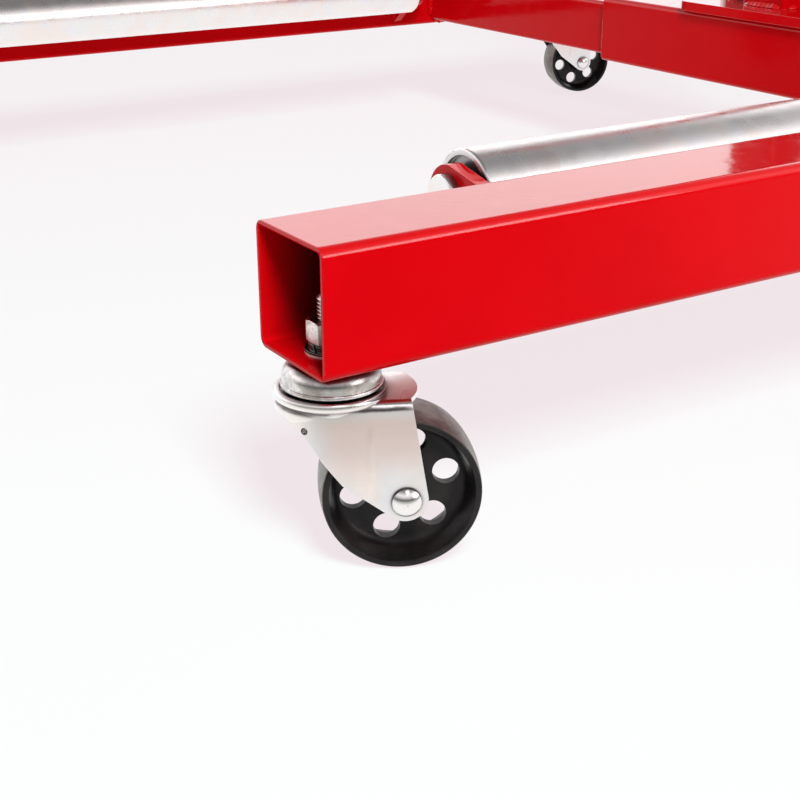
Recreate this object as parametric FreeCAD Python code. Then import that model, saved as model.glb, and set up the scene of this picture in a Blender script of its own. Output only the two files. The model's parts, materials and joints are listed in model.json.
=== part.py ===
import FreeCAD, Part

import math
import os

# Hydraulic wheel dolly for truck and coach wheels, in millimetres.
# Row frame: +Z up, z = 0 on the floor, X along the legs with the open front ends at -X,
# Y across the tyre bay. The origin is on the floor, under the middle of the bounding box.

V = FreeCAD.Vector
X_AXIS, Y_AXIS, Z_AXIS = V(1, 0, 0), V(0, 1, 0), V(0, 0, 1)

# ---- driving dimensions: frame ---------------------------------------------------------
TUBE = 60.0                 # square leg and sleeve section
WALL = 2.5                  # leg wall
TUBE_CORNER = 5.0           # outer corner radius of the square sections
TUBE_BOTTOM = 102.0         # height of the legs' underside
FRONT_X = -461.05           # the legs' open front ends; puts the bounding box middle on x = 0
LEG_LENGTH = 880.0
BAY_WIDTH = 850.0           # between the legs' inner faces, fully open
STROKE = 270.0              # travel of the sliding leg
END_ROUND = 0.5             # softened cut edges at the open tube ends

TUBE_TOP = TUBE_BOTTOM + TUBE
TUBE_MID = TUBE_BOTTOM + TUBE / 2
INNER_FACE = BAY_WIDTH / 2
LEG_Y = INNER_FACE + TUBE / 2
SIDES = {"fixed": -1, "sliding": 1}

# ---- driving dimensions: telescopic cross members --------------------------------------
SLEEVE_X = (FRONT_X + 680.0, FRONT_X + 800.0)
SLEEVE_WALL = 3.0
SLEEVE_LENGTH = 540.0
INNER_TUBE = 50.0
INNER_WALL = 3.0
PAD_GAP = 0.25              # running gap between a wear pad and the tube it guides
PAD_LENGTH = 45.0

# ---- driving dimensions: tyre rollers --------------------------------------------------
ROLLER_R = 24.0
ROLLER_WALL = 3.5
ROLLER_Z = 146.0
ROLLER_OFFSET = 34.0        # roller axis from the leg's inner face
BRACKET_X = (FRONT_X + 130.0, FRONT_X + 610.0)
BRACKET_T = 8.0
BRACKET_NOSE_R = 17.0       # rounded end of a bracket round the shaft
BRACKET_INSET = 6.0         # a bracket's weld edge inside the leg's height
SHAFT_R = 8.0

# ---- driving dimensions: casters -------------------------------------------------------
STEM_INSET = 20.0           # stem axis from the leg's end
STEM_R = 6.0
STEM_PITCH = 1.75
STEM_TOP = 29.5             # stem end above the leg's underside
TRAIL = 30.4
AXLE_DROP = 64.0            # axle below the leg's underside
WHEEL_R = 38.0
WHEEL_EDGE_R = 37.0         # crowned tread, measured at its edges
WHEEL_HALF = 16.0
WHEEL_ROUND = 0.9           # rounded corner between the tread and the wheel's side
RIM_MOUTH_R = 34.5          # inside of the rim at the wheel's side
RIM_ROOT_R = 31.7           # and where its draft meets the web's fillet
HUB_R = 9.0
HUB_HALF = 17.6
WEB_HALF = 2.4
WEB_HOLES = 6
WEB_HOLE_R = 6.4
WEB_PITCH_R = 22.4
WEB_PHASE = 14.0            # turn of the first web hole above the trail line, degrees
WHEEL_BORE_R = 5.2
AXLE_R = 5.0
RIVET_R = 6.8
RIVET_COLLAR = 1.4          # straight part of a rivet head, outside the fork
RIVET_DOME = 2.9
RIVET_OFF = (1.3, -0.6)     # a head's centre from the shank's, as struck
YOKE_T = 2.6
YOKE_HALF = 20.7            # outer face of a fork leg from the fork's middle
YOKE_FRONT = 24.4           # the fork's rounded front from the stem axis
YOKE_ROUND = 4.2            # rounded edge between the crown and the fork's sides
YOKE_TOP = -15.6            # flat of the crown under the leg
LOBE_TIP = 38.8             # end of the crown's tongue behind the stem axis
LOBE_CORNER = 33.9
BAND_FRONT = 27.2           # the crown's rounded band, in front of the stem axis
BAND_HALF = 25.2            # and at its sides
DISH_R = 23.9               # wall of the race dish inside the band
DISH_LIP = -13.4            # top of the dish's raised lip
SEAT_R = 23.6               # rolled rim of the upper race cup
SEAT_WALL_R = 22.9
SEAT_RIM = -12.5
CREASE_Z = -19.0            # fold between the band and the swelling under it
SWELL_FRONT = 26.1          # the swelling in front of the stem axis; it dies out at the sides
SWELL_SIDE = 20.5
SKIRT_LOW = -28.0
FOOT_R = 10.4               # rounded foot of a fork leg round the axle
FOOT_SHIFT = 1.0            # the foot's middle behind the axle
PRESS_MARK_R = 1.7          # small dent left by the forming tool
PRESS_MARK = (-13.9, 17.3, -28.9)
PLAIN_WASHER_T = 2.2
LOCK_WASHER_T = 2.8
NUT_FLATS = 19.0
NUT_HEIGHT = 10.6
BALL_R = 2.2
BALL_RING_R = 18.8
BALL_Z = -12.8
BALLS = 12
RACE_GAP = 0.3
CROWN_UNDER = -20.0         # top of the retainer under the fork's crown
HEAD_TOP = -22.4            # top of the stem's head
CASTERS = {                 # name: (side, end, heading of the trail in degrees)
    "front_fixed": ("fixed", "front", -26.1),
    "rear_fixed": ("fixed", "rear", 9.0),
    "front_sliding": ("sliding", "front", 26.1),
    "rear_sliding": ("sliding", "rear", -17.0),
}

# ---- driving dimensions: ram, pump and pedal -------------------------------------------
RAM_X = (SLEEVE_X[0] + SLEEVE_X[1]) / 2
BARREL_R = 25.0
BARREL_BORE_R = 20.5
BARREL_Y = (-INNER_FACE + 48.0, 62.0)
GLAND_LENGTH = 26.0
ROD_R = 12.5
CLEVIS_PIN_R = 8.0
CLEVIS_REACH = 26.0         # clevis pin from a leg's inner face
CLEVIS_T = 8.0
EYE_R = 18.0                # a ram eye's outside
EYE_HALF = 14.0             # half height of a ram eye between its clevis plates
EYE_GAP = 1.5               # play between an eye and each clevis plate

DECK_T = 8.0
DECK_X = (SLEEVE_X[0] - 36.0, SLEEVE_X[1] + 36.0)
DECK_Y = (-345.0, 10.0)
DECK_TOP = TUBE_TOP + DECK_T
ACCESSORY_R = 4.25          # plain holes for bolted-on extras
ACCESSORY_Z = (310.0, 390.0)

PUMP_Y = -285.0
PUMP_X = RAM_X + 12.0
PUMP_SIZE = (70.0, 56.0, 42.0)
FLANGE_T = 9.0
BOLT_R = 4.0
PLUNGER_R = 7.0
PLUNGER_X = PUMP_X + 14.0
NOSE_R = 8.0
PEDAL_PIVOT = (PUMP_X - 22.0, DECK_TOP + 92.0)     # x and z of the pivot
PEDAL_PIN_R = 6.0
PEDAL_HALF = 13.0
PEDAL_REACH = 150.0
EAR_T = 8.0
TANK_R = 28.0
TANK_LENGTH = 130.0
VALVE_R = 5.0
VALVE_Z = DECK_TOP + 31.0
HOSE_R = 6.5
HOSE_Z = DECK_TOP + 25.5

# ---- driving dimensions: mast ----------------------------------------------------------
MAST_X = SLEEVE_X[0] + 18.0
MAST_Y = -70.0
MAST_TUBE = 50.0
MAST_TOP = 720.0
GUSSET_REACH = 42.0
GUSSET_HEIGHT = 95.0
GUSSET_T = 6.0
INNER_MAST = 43.0
INNER_MAST_Z = (430.0, 852.0)
HANDLE_Z = 640.0
HANDLE_R = 12.5
HANDLE_HALF = 235.0
HANDLE_X = MAST_X + MAST_TUBE / 2 + 34.0
HANDLE_BACK = 120.0
HANDLE_BEND = 45.0
GRIP_R = 16.0
GRIP_LENGTH = 76.0
GRIP_RIBS = 5
ARM_Z = 820.0
ARM_REACH = 28.0
ARM_HALF = 18.0
PLATE_T = 5.0               # the retaining arm's cross plate
PLATE_HALF = 95.0
CLAMP_Z = 694.0
CLAMP_R = 5.0
CHAIN_Z = 600.0
CHAIN_LINKS = 12
LINK_WIRE_R = 2.8
LINK_PITCH = 21.0
LINK_HALF_WIDTH = 7.5
EYE_RING_R = 9.0
EYE_WIRE_R = 3.5
CHAIN_Y = MAST_Y - MAST_TUBE / 2 - EYE_RING_R - EYE_WIRE_R + 1.5


# ---- helpers ---------------------------------------------------------------------------
def box(x0, x1, y0, y1, z0, z1):
    """A box between two opposite corners."""
    return Part.makeBox(x1 - x0, y1 - y0, z1 - z0, V(x0, y0, z0))


def cyl(radius, base, axis, length):
    """A cylinder from a base point along an axis."""
    return Part.makeCylinder(radius, length, V(*base), axis)


def ring(outer, inner, base, axis, length):
    """A round tube or washer."""
    return cyl(outer, base, axis, length).cut(cyl(inner, base, axis, length))


def fuse(shapes):
    """One clean solid from overlapping or touching solids."""
    shapes = list(shapes)
    whole = shapes[0].fuse(shapes[1:]) if len(shapes) > 1 else shapes[0]
    return whole.removeSplitter()


def face(points):
    """A flat face through corner points; a three-point tuple adds an arc to the outline."""
    edges, start = [], None
    first = V(*points[0])
    here = first
    for item in points[1:]:
        if isinstance(item[0], tuple):
            through, end = V(*item[0]), V(*item[1])
            edges.append(Part.Arc(here, through, end).toShape())
        else:
            end = V(*item)
            edges.append(Part.makeLine(here, end))
        here = end
    if here.distanceToPoint(first) > 1e-7:
        edges.append(Part.makeLine(here, first))
    return Part.Face(Part.Wire(edges))


def revolve(points):
    """A solid of revolution about Z from an (r, z) outline; nested pairs are arcs."""
    outline = []
    for item in points:
        if isinstance(item[0], tuple):
            outline.append(tuple((r, 0, z) for r, z in item))
        else:
            outline.append((item[0], 0, item[1]))
    return face(outline).revolve(V(0, 0, 0), Z_AXIS, 360)


def turn(shape, axis, degrees, centre=(0, 0, 0)):
    """A copy turned about an axis through a centre."""
    moved = shape.copy()
    moved.rotate(V(*centre), axis, degrees)
    return moved


def shift(shape, x=0.0, y=0.0, z=0.0):
    """A copy moved by a vector."""
    moved = shape.copy()
    moved.translate(V(x, y, z))
    return moved


def bar(size, corner, length):
    """A square bar with rounded long edges, centred on +X from the origin."""
    solid = box(0, length, -size / 2, size / 2, -size / 2, size / 2)
    long_edges = [e for e in solid.Edges if abs(e.Length - length) < 1e-6]
    if abs(size - length) < 1e-6:
        return solid
    return solid.makeFillet(corner, long_edges)


def square_tube(size, wall, corner, length):
    """A square hollow section, centred on +X from the origin."""
    hollow = shift(bar(size - 2 * wall, max(corner - wall, 1.0), length + 2), x=-1)
    return bar(size, corner, length).cut(hollow)


def along_y(shape):
    """Turns a shape built on +X onto +Y."""
    return turn(shape, Z_AXIS, 90)


def along_z(shape):
    """Turns a shape built on +X onto +Z."""
    return turn(shape, Y_AXIS, -90)


def mirror_y(shape):
    """The mirror image across the dolly's middle plane."""
    return shape.mirror(V(0, 0, 0), Y_AXIS)


def pipe(points, radius, bend):
    """A round bar through corner points, with each corner bent to a radius."""
    pts = [V(*p) for p in points]
    edges, here = [], pts[0]
    for i in range(1, len(pts) - 1):
        into = (pts[i] - pts[i - 1]).normalize()
        out = (pts[i + 1] - pts[i]).normalize()
        half = into.getAngle(out) / 2
        cut = bend * math.tan(half)
        a, b = pts[i] - into * cut, pts[i] + out * cut
        centre_way = (out - into).normalize()
        centre = pts[i] + centre_way * (bend / math.cos(half))
        mid = centre - centre_way * bend
        edges += [Part.makeLine(here, a), Part.Arc(a, mid, b).toShape()]
        here = b
    edges.append(Part.makeLine(here, pts[-1]))
    path = Part.Wire(edges)
    circle = Part.Wire(Part.makeCircle(radius, pts[0], pts[1] - pts[0]))
    return path.makePipeShell([circle], True, True)


def hexagon(across_flats, height, base):
    """A hexagon prism on +Z with its top and bottom corners turned off at 30 degrees."""
    corner = across_flats / math.sqrt(3)
    x, y, z = base
    points = []
    for k in range(6):
        a = math.radians(60 * k + 30)
        points.append((x + corner * math.cos(a), y + corner * math.sin(a), z))
    prism = face(points).extrude(V(0, 0, height))
    slope = (corner - across_flats / 2) * math.tan(math.radians(30))
    half = across_flats / 2
    outline = [(0, 0), (half, 0), (corner + 1, slope * (corner + 1 - half) / (corner - half))]
    outline += [(r, height - h) for r, h in reversed(outline)]
    return prism.common(shift(revolve(outline), x, y, z))


# ---- frame weldments -------------------------------------------------------------------
def soften_ends(tube, length):
    """Rounds the cut edges at both open ends of a tube built on +X."""
    ends = []
    for e in tube.Edges:
        xs = [v.Point.x for v in e.Vertexes]
        if max(xs) - min(xs) < 1e-6 and min(abs(xs[0]), abs(xs[0] - length)) < 1e-6:
            ends.append(e)
    return tube.makeFillet(END_ROUND, ends)


def stem_places(side):
    """The two stem axes on one leg."""
    y = SIDES[side] * LEG_Y
    return [(FRONT_X + STEM_INSET, y), (FRONT_X + LEG_LENGTH - STEM_INSET, y)]


def clevis_plates(side):
    """The two plates welded to a leg's inner face that hold a ram eye."""
    plates = []
    for z in (TUBE_MID - EYE_HALF - EYE_GAP - CLEVIS_T, TUBE_MID + EYE_HALF + EYE_GAP):
        pin_y = -INNER_FACE + CLEVIS_REACH
        plate = box(RAM_X - 20, RAM_X + 20, -INNER_FACE, pin_y, z, z + CLEVIS_T)
        plate = plate.fuse(cyl(20, (RAM_X, pin_y, z), Z_AXIS, CLEVIS_T))
        plate = plate.cut(cyl(CLEVIS_PIN_R, (RAM_X, pin_y, z), Z_AXIS, CLEVIS_T))
        plates.append(plate if side == "fixed" else mirror_y(plate))
    return plates


def leg(side):
    """A leg: square tube with stem holes, and the ram clevis welded to its inner face."""
    tube = soften_ends(square_tube(TUBE, WALL, TUBE_CORNER, LEG_LENGTH), LEG_LENGTH)
    tube = shift(tube, FRONT_X, SIDES[side] * LEG_Y, TUBE_MID)
    for x, y in stem_places(side):
        tube = tube.cut(cyl(STEM_R + 0.4, (x, y, TUBE_BOTTOM - 1), Z_AXIS, WALL + 2))
    return fuse([tube] + clevis_plates(side))


def cross_sleeves():
    """The two outer cross tubes, welded to the fixed leg."""
    tube = along_y(square_tube(TUBE, SLEEVE_WALL, TUBE_CORNER, SLEEVE_LENGTH))
    return [shift(tube, x, -INNER_FACE, TUBE_MID) for x in SLEEVE_X]


def inner_cross_tubes():
    """The two inner cross tubes, welded to the sliding leg."""
    tube = along_y(square_tube(INNER_TUBE, INNER_WALL, 4.0, SLEEVE_LENGTH))
    return [shift(tube, x, INNER_FACE - SLEEVE_LENGTH, TUBE_MID) for x in SLEEVE_X]


def wear_pads(near, far, y0):
    """Four flat guide pads round each inner tube, from face distance near to far."""
    pads = []
    for x in SLEEVE_X:
        pad = box(-17, 17, y0, y0 + PAD_LENGTH, near, far)
        pads += [shift(turn(pad, Y_AXIS, 90 * k), x, 0, TUBE_MID) for k in range(4)]
    return pads


def sleeve_pads():
    """Nylon pads fixed inside the sleeves' mouths."""
    mouth = -INNER_FACE + SLEEVE_LENGTH
    return wear_pads(INNER_TUBE / 2 + PAD_GAP, TUBE / 2 - SLEEVE_WALL, mouth - PAD_LENGTH - 2)


def inner_tube_pads():
    """Nylon pads fixed round the inner tubes' tails."""
    tail = INNER_FACE - SLEEVE_LENGTH
    return wear_pads(INNER_TUBE / 2, TUBE / 2 - SLEEVE_WALL - PAD_GAP, tail + 2)


# ---- tyre rollers ----------------------------------------------------------------------
def roller_axis_y(side):
    return SIDES[side] * (INNER_FACE - ROLLER_OFFSET)


def roller_brackets(side):
    """Two plates welded to a leg's inner face, each with a hole for the roller shaft."""
    y = -(INNER_FACE - ROLLER_OFFSET)
    nose = BRACKET_NOSE_R
    outline = [
        (0, -INNER_FACE, TUBE_BOTTOM + BRACKET_INSET),
        (0, -INNER_FACE, TUBE_TOP - BRACKET_INSET),
        (0, y, ROLLER_Z + nose),
        ((0, y + nose, ROLLER_Z), (0, y, ROLLER_Z - nose)),
        (0, y - 8, ROLLER_Z - nose),
    ]
    plates = []
    for x in BRACKET_X:
        plate = face(outline).extrude(V(BRACKET_T, 0, 0))
        plate = plate.cut(cyl(SHAFT_R, (0, y, ROLLER_Z), X_AXIS, BRACKET_T))
        plate = shift(plate, x - BRACKET_T / 2)
        plates.append(plate if side == "fixed" else mirror_y(plate))
    return plates


def roller(side):
    """A steel tube with a bored plug welded into each end."""
    y = roller_axis_y(side)
    gap = 2.0
    x0, x1 = BRACKET_X[0] + BRACKET_T / 2 + gap, BRACKET_X[1] - BRACKET_T / 2 - gap
    body = cyl(ROLLER_R, (x0, y, ROLLER_Z), X_AXIS, x1 - x0)
    body = body.makeFillet(1.5, [e for e in body.Edges if e.Closed])
    body = body.cut(cyl(ROLLER_R - ROLLER_WALL, (x0 + 12, y, ROLLER_Z), X_AXIS, x1 - x0 - 24))
    body = body.cut(cyl(ROLLER_R - ROLLER_WALL, (x0 - 1, y, ROLLER_Z), X_AXIS, 3.5))
    body = body.cut(cyl(ROLLER_R - ROLLER_WALL, (x1 - 2.5, y, ROLLER_Z), X_AXIS, 3.5))
    return body.cut(cyl(SHAFT_R + 0.2, (x0 - 1, y, ROLLER_Z), X_AXIS, x1 - x0 + 2))


def roller_shaft(side):
    """A shaft with a flat head at the front and a split pin at the back."""
    y = roller_axis_y(side)
    x0 = BRACKET_X[0] - BRACKET_T / 2
    x1 = BRACKET_X[1] + BRACKET_T / 2 + 9.0
    head = cyl(12.5, (x0 - 5, y, ROLLER_Z), X_AXIS, 5)
    head = head.makeFillet(1.5, [e for e in head.Edges if e.Closed and e.CenterOfMass.x < x0 - 4])
    rod = cyl(SHAFT_R, (x0, y, ROLLER_Z), X_AXIS, x1 - x0)
    rod = rod.makeChamfer(1.2, [e for e in rod.Edges if e.Closed and e.CenterOfMass.x > x1 - 1])
    pin_x = x1 - 4.5
    rod = rod.cut(cyl(1.7, (pin_x, y, ROLLER_Z - 10), Z_AXIS, 20))
    split_pin = cyl(1.6, (pin_x, y, ROLLER_Z - 14), Z_AXIS, 25)
    eye = Part.makeTorus(3.2, 1.5, V(pin_x, y, ROLLER_Z + 13.2), X_AXIS)
    return [fuse([head, rod]), fuse([split_pin, eye])]


# ---- casters ---------------------------------------------------------------------------
def caster_seat():
    """The fixed upper race cup: flat top on the leg, rounded shoulder, rolled rim."""
    ceiling = BALL_Z + BALL_R + RACE_GAP
    sleeve = 8.6
    return revolve([
        (STEM_R, 0),
        (16.5, 0),
        (16.5, -1.4),
        (18.4, -1.7),
        ((21.6, -4.3), (SEAT_WALL_R - 0.1, -8.2)),
        (SEAT_WALL_R, SEAT_RIM + 2.0),
        ((SEAT_R - 0.15, SEAT_RIM + 1.6), (SEAT_R, SEAT_RIM + 1.0)),
        (SEAT_R, SEAT_RIM + 0.4),
        ((SEAT_R - 0.12, SEAT_RIM + 0.12), (SEAT_R - 0.4, SEAT_RIM)),
        (22.0, SEAT_RIM),
        (22.0, ceiling),
        (sleeve, ceiling),
        (sleeve, CROWN_UNDER),
        (STEM_R, CROWN_UNDER),
    ])


def caster_retainer():
    """The dished washer that the stem head holds under the fork's crown."""
    top = CROWN_UNDER
    return revolve([(STEM_R, top), (13.5, top), (14.5, top - 1.2), (14.5, HEAD_TOP), (STEM_R, HEAD_TOP)])


def caster_stem():
    """The stem: flat head inside the fork, plain shank, then an M12 thread with a chamfered end."""
    core = STEM_R - 0.9
    low = HEAD_TOP - 4.0
    z = WALL + 0.7
    outline = [(0, low), (8.8, low), (10.2, low + 1.2), (10.2, HEAD_TOP), (STEM_R, HEAD_TOP), (STEM_R, z)]
    while z + STEM_PITCH < STEM_TOP - 1.5:
        outline += [(core, z + 0.45 * STEM_PITCH), (core, z + 0.6 * STEM_PITCH)]
        outline.append((STEM_R, z + STEM_PITCH))
        z += STEM_PITCH
    outline += [(STEM_R - 0.1, z + 0.2), (STEM_R - 1.6, STEM_TOP), (0, STEM_TOP)]
    return revolve(outline)


def plain_washer():
    """The flat washer on the leg's bottom wall."""
    return ring(12.0, STEM_R + 0.4, (0, 0, WALL), Z_AXIS, PLAIN_WASHER_T)


def lock_washer():
    """A spring washer with its slanting split."""
    low = WALL + PLAIN_WASHER_T
    whole = ring(10.2, STEM_R + 0.1, (0, 0, low), Z_AXIS, LOCK_WASHER_T)
    slot = turn(box(4, 13, -0.7, 0.7, -2, 4), X_AXIS, 25)
    return whole.cut(turn(shift(slot, z=low + 0.4), Z_AXIS, 200))


def stem_nut():
    """The hexagon nut over the spring washer."""
    nut = hexagon(NUT_FLATS, NUT_HEIGHT, (0, 0, WALL + PLAIN_WASHER_T + LOCK_WASHER_T))
    return nut.cut(cyl(STEM_R, (0, 0, WALL), Z_AXIS, 30))


def yoke_prism(offset, top, rear, corner):
    """The fork's plan, oval in front and open behind, drawn down with rounded top edges."""
    side, front = YOKE_HALF - offset, YOKE_FRONT - offset
    oval = Part.Ellipse(V(0, 0, top), front, side)
    nose = Part.ArcOfEllipse(oval, math.pi / 2, 3 * math.pi / 2).toShape()
    corners = [V(0, -side, top), V(rear, -side, top), V(rear, side, top), V(0, side, top)]
    lines = [Part.makeLine(p, q) for p, q in zip(corners, corners[1:])]
    solid = Part.Face(Part.Wire([nose] + lines)).extrude(V(0, 0, -80))
    edges = []
    for e in solid.Edges:
        zs = [v.Point.z for v in e.Vertexes]
        xs = [v.Point.x for v in e.Vertexes]
        if min(zs) > top - 1e-6 and min(xs) < rear - 1e-6:
            edges.append(e)
    return solid.makeFillet(corner, edges)


def yoke_side():
    """The fork's side view, swept across its width."""
    foot = (TRAIL + FOOT_SHIFT, -AXLE_DROP)
    rear, below, front = (
        (foot[0] + FOOT_R * math.cos(math.radians(a)), foot[1] + FOOT_R * math.sin(math.radians(a)))
        for a in (10, 300, 232)
    )
    outline = [
        (-30, -12),
        (33.8, -12),
        (34.8, -19),
        rear,
        (below, front),
        (2.6, -55.2),
        (-6.6, -43.0),
        ((-11.2, -35.6), (-17.2, -28.8)),
        ((-21.0, -25.2), (-30, -22.6)),
    ]
    width = 30
    points = []
    for item in outline:
        if isinstance(item[0], tuple):
            points.append(tuple((x, -width, z) for x, z in item))
        else:
            points.append((item[0], -width, item[1]))
    return face(points).extrude(V(0, 2 * width, 0))


def oval_ring(outline, front, side):
    """A revolved ring squeezed from its front radius to its side radius across the fork."""
    squeeze = FreeCAD.Matrix()
    squeeze.scale(1, side / front, 1)
    return revolve(outline).transformGeometry(squeeze)


def crown_band():
    """The race dish's raised lip and the rounded band round it, fading out toward the tongue."""
    core = 19.0
    band = oval_ring([
        (core, DISH_LIP),
        (BAND_FRONT - 2.4, DISH_LIP),
        ((BAND_FRONT - 0.7, DISH_LIP - 0.7), (BAND_FRONT, DISH_LIP - 2.4)),
        ((BAND_FRONT - 0.3, DISH_LIP - 3.7), (BAND_FRONT - 1.3, DISH_LIP - 4.6)),
        ((BAND_FRONT - 2.4, DISH_LIP - 5.0), (BAND_FRONT - 3.1, CREASE_Z)),
        ((BAND_FRONT - 4.2, CREASE_Z - 1.0), (BAND_FRONT - 4.9, CREASE_Z - 2.8)),
        (core, CREASE_Z - 2.8),
    ], BAND_FRONT, BAND_HALF)
    above = face([
        (6, -40, DISH_LIP),
        (22, -40, YOKE_TOP),
        (40, -40, YOKE_TOP),
        (40, -40, DISH_LIP + 1),
        (6, -40, DISH_LIP + 1),
    ]).extrude(V(0, 80, 0))
    return band.cut(above.cut(cyl(DISH_R + 1.1, (0, 0, -40), Z_AXIS, 40)))


def crown_swell():
    """The swelling under the band's fold, strongest in front."""
    core = 19.0
    return oval_ring([
        (core, CREASE_Z + 0.4),
        (SWELL_FRONT - 2.0, CREASE_Z + 0.4),
        (SWELL_FRONT - 1.6, CREASE_Z - 0.2),
        ((SWELL_FRONT - 0.3, CREASE_Z - 1.6), (SWELL_FRONT, CREASE_Z - 3.2)),
        ((SWELL_FRONT - 0.6, CREASE_Z - 6.2), (SWELL_FRONT - 1.9, SKIRT_LOW)),
        (core, SKIRT_LOW),
    ], SWELL_FRONT, SWELL_SIDE)


def lobe():
    """The crown's flat tongue behind the race dish."""
    width = YOKE_HALF - YOKE_ROUND
    return face([
        (12, -width, YOKE_TOP),
        (LOBE_CORNER, -width, YOKE_TOP),
        ((LOBE_TIP, 0, YOKE_TOP), (LOBE_CORNER, width, YOKE_TOP)),
        (12, width, YOKE_TOP),
    ]).extrude(V(0, 0, -YOKE_T))


def press_marks():
    """Balls that leave one small dent in each side of the skirt."""
    x, y, z = PRESS_MARK
    return [Part.makeSphere(PRESS_MARK_R, V(x, side * y, z)) for side in (-1, 1)]


def yoke():
    """The pressed fork: crown with a raised race dish, rounded skirt and two legs."""
    body = fuse([yoke_prism(0, YOKE_TOP, 60, YOKE_ROUND), crown_band(), crown_swell()])
    body = body.cut(yoke_prism(YOKE_T, YOKE_TOP - YOKE_T, 61, YOKE_ROUND - YOKE_T))
    body = fuse([body.common(yoke_side()), lobe()])
    body = body.cut(cyl(DISH_R, (0, 0, BALL_Z - BALL_R - RACE_GAP), Z_AXIS, 10))
    body = body.cut(cyl(9.2, (0, 0, -40), Z_AXIS, 40))
    body = body.cut(press_marks())
    return body.cut(cyl(AXLE_R, (TRAIL, -30, -AXLE_DROP), Y_AXIS, 60))


def race_balls():
    """The ring of bearing balls between the cup and the fork's dish."""
    balls = []
    for k in range(BALLS):
        a = math.radians(360 / BALLS * k)
        centre = V(BALL_RING_R * math.cos(a), BALL_RING_R * math.sin(a), BALL_Z)
        balls.append(Part.makeSphere(BALL_R, centre))
    return balls


def rivet_head(x, z):
    """A domed rivet head standing on the XZ plane toward -Y, centred on x and z."""
    ball = (RIVET_R ** 2 + RIVET_DOME ** 2) / (2 * RIVET_DOME)
    half_way = math.asin(RIVET_R / ball) / 2
    mid = (ball * math.sin(half_way), RIVET_COLLAR + RIVET_DOME - ball * (1 - math.cos(half_way)))
    head = revolve([
        (0, 0),
        (RIVET_R, 0),
        (RIVET_R, RIVET_COLLAR),
        (mid, (0, RIVET_COLLAR + RIVET_DOME)),
    ])
    return shift(turn(head, X_AXIS, 90), x, 0, z)


def axle():
    """The riveted axle: a shank between two low domed heads, struck a little off centre."""
    shank = cyl(AXLE_R, (0, -YOKE_HALF, 0), Y_AXIS, 2 * YOKE_HALF)
    head = shift(rivet_head(*RIVET_OFF), y=-YOKE_HALF)
    return shift(fuse([shank, head, turn(head, Z_AXIS, 180)]), TRAIL, 0, -AXLE_DROP)


def mirrored_back(outline):
    """The way back along an (r, t) outline on the other side of t = 0."""
    ends = [item[1] if isinstance(item[0], tuple) else item for item in outline]
    back = []
    for i in range(len(outline) - 1, 0, -1):
        end = (ends[i - 1][0], -ends[i - 1][1])
        if isinstance(outline[i][0], tuple):
            r, t = outline[i][0]
            back.append(((r, -t), end))
        else:
            back.append(end)
    return back


def wheel():
    """The cast wheel: crowned tread, drafted rim, thin web with round holes, long hub."""
    half, edge, soft = WHEEL_HALF, WHEEL_EDGE_R, WHEEL_ROUND
    near = [
        (WHEEL_BORE_R, HUB_HALF),
        (HUB_R, HUB_HALF),
        (HUB_R + 2.0, WEB_HALF + 1.8),
        ((HUB_R + 2.7, WEB_HALF + 0.5), (HUB_R + 4.2, WEB_HALF)),
        (RIM_ROOT_R - 4.3, WEB_HALF),
        ((RIM_ROOT_R - 1.5, WEB_HALF + 1.2), (RIM_ROOT_R, WEB_HALF + 4.2)),
        (RIM_MOUTH_R - 0.6, half - 0.5),
        ((RIM_MOUTH_R - 0.4, half - 0.15), (RIM_MOUTH_R, half)),
        (edge - soft, half),
        ((edge - 0.3 * soft, half - 0.3 * soft), (edge, half - soft)),
    ]
    tread = ((WHEEL_R, 0), (edge, soft - half))
    body = revolve(near + [tread] + mirrored_back(near))
    for k in range(WEB_HOLES):
        a = math.radians(WEB_PHASE + 360 / WEB_HOLES * k)
        place = (WEB_PITCH_R * math.cos(a), WEB_PITCH_R * math.sin(a), -10)
        body = body.cut(cyl(WEB_HOLE_R, place, Z_AXIS, 20))
    return shift(turn(body, X_AXIS, 90), TRAIL, 0, -AXLE_DROP)


def place_caster(shape, name):
    """Moves a caster piece from the stem's own frame to its leg, turned to its heading."""
    side, end, heading = CASTERS[name]
    x, y = stem_places(side)[0 if end == "front" else 1]
    return shift(turn(shape, Z_AXIS, heading), x, y, TUBE_BOTTOM)


def on_stems(shapes, side):
    """Copies of fixed stem hardware at both stems of a leg."""
    return [shift(s, x, y, TUBE_BOTTOM) for x, y in stem_places(side) for s in shapes]


# ---- hydraulic ram ---------------------------------------------------------------------
def ram_barrel():
    """The ram's barrel with its closed base, base eye and oil port boss."""
    y0, y1 = BARREL_Y
    body = cyl(BARREL_R, (RAM_X, y0, TUBE_MID), Y_AXIS, y1 - y0)
    body = body.makeFillet(2.0, [e for e in body.Edges if e.Closed and e.CenterOfMass.y < y0 + 1])
    pin_y = -INNER_FACE + CLEVIS_REACH
    eye = cyl(EYE_R, (RAM_X, pin_y, TUBE_MID - EYE_HALF), Z_AXIS, 2 * EYE_HALF)
    neck = box(RAM_X - 14, RAM_X + 14, pin_y, y0 + 1, TUBE_MID - EYE_HALF, TUBE_MID + EYE_HALF)
    port = cyl(9.0, (RAM_X, y1 - 24, TUBE_MID), Z_AXIS, BARREL_R + 9)
    body = fuse([body, eye, neck, port])
    body = body.cut(cyl(BARREL_BORE_R, (RAM_X, y0 + 14, TUBE_MID), Y_AXIS, y1 - y0))
    body = body.cut(cyl(3.0, (RAM_X, y1 - 24, TUBE_MID), Z_AXIS, BARREL_R + 20))
    return body.cut(cyl(CLEVIS_PIN_R, (RAM_X, pin_y, TUBE_MID - 40), Z_AXIS, 80))


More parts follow.
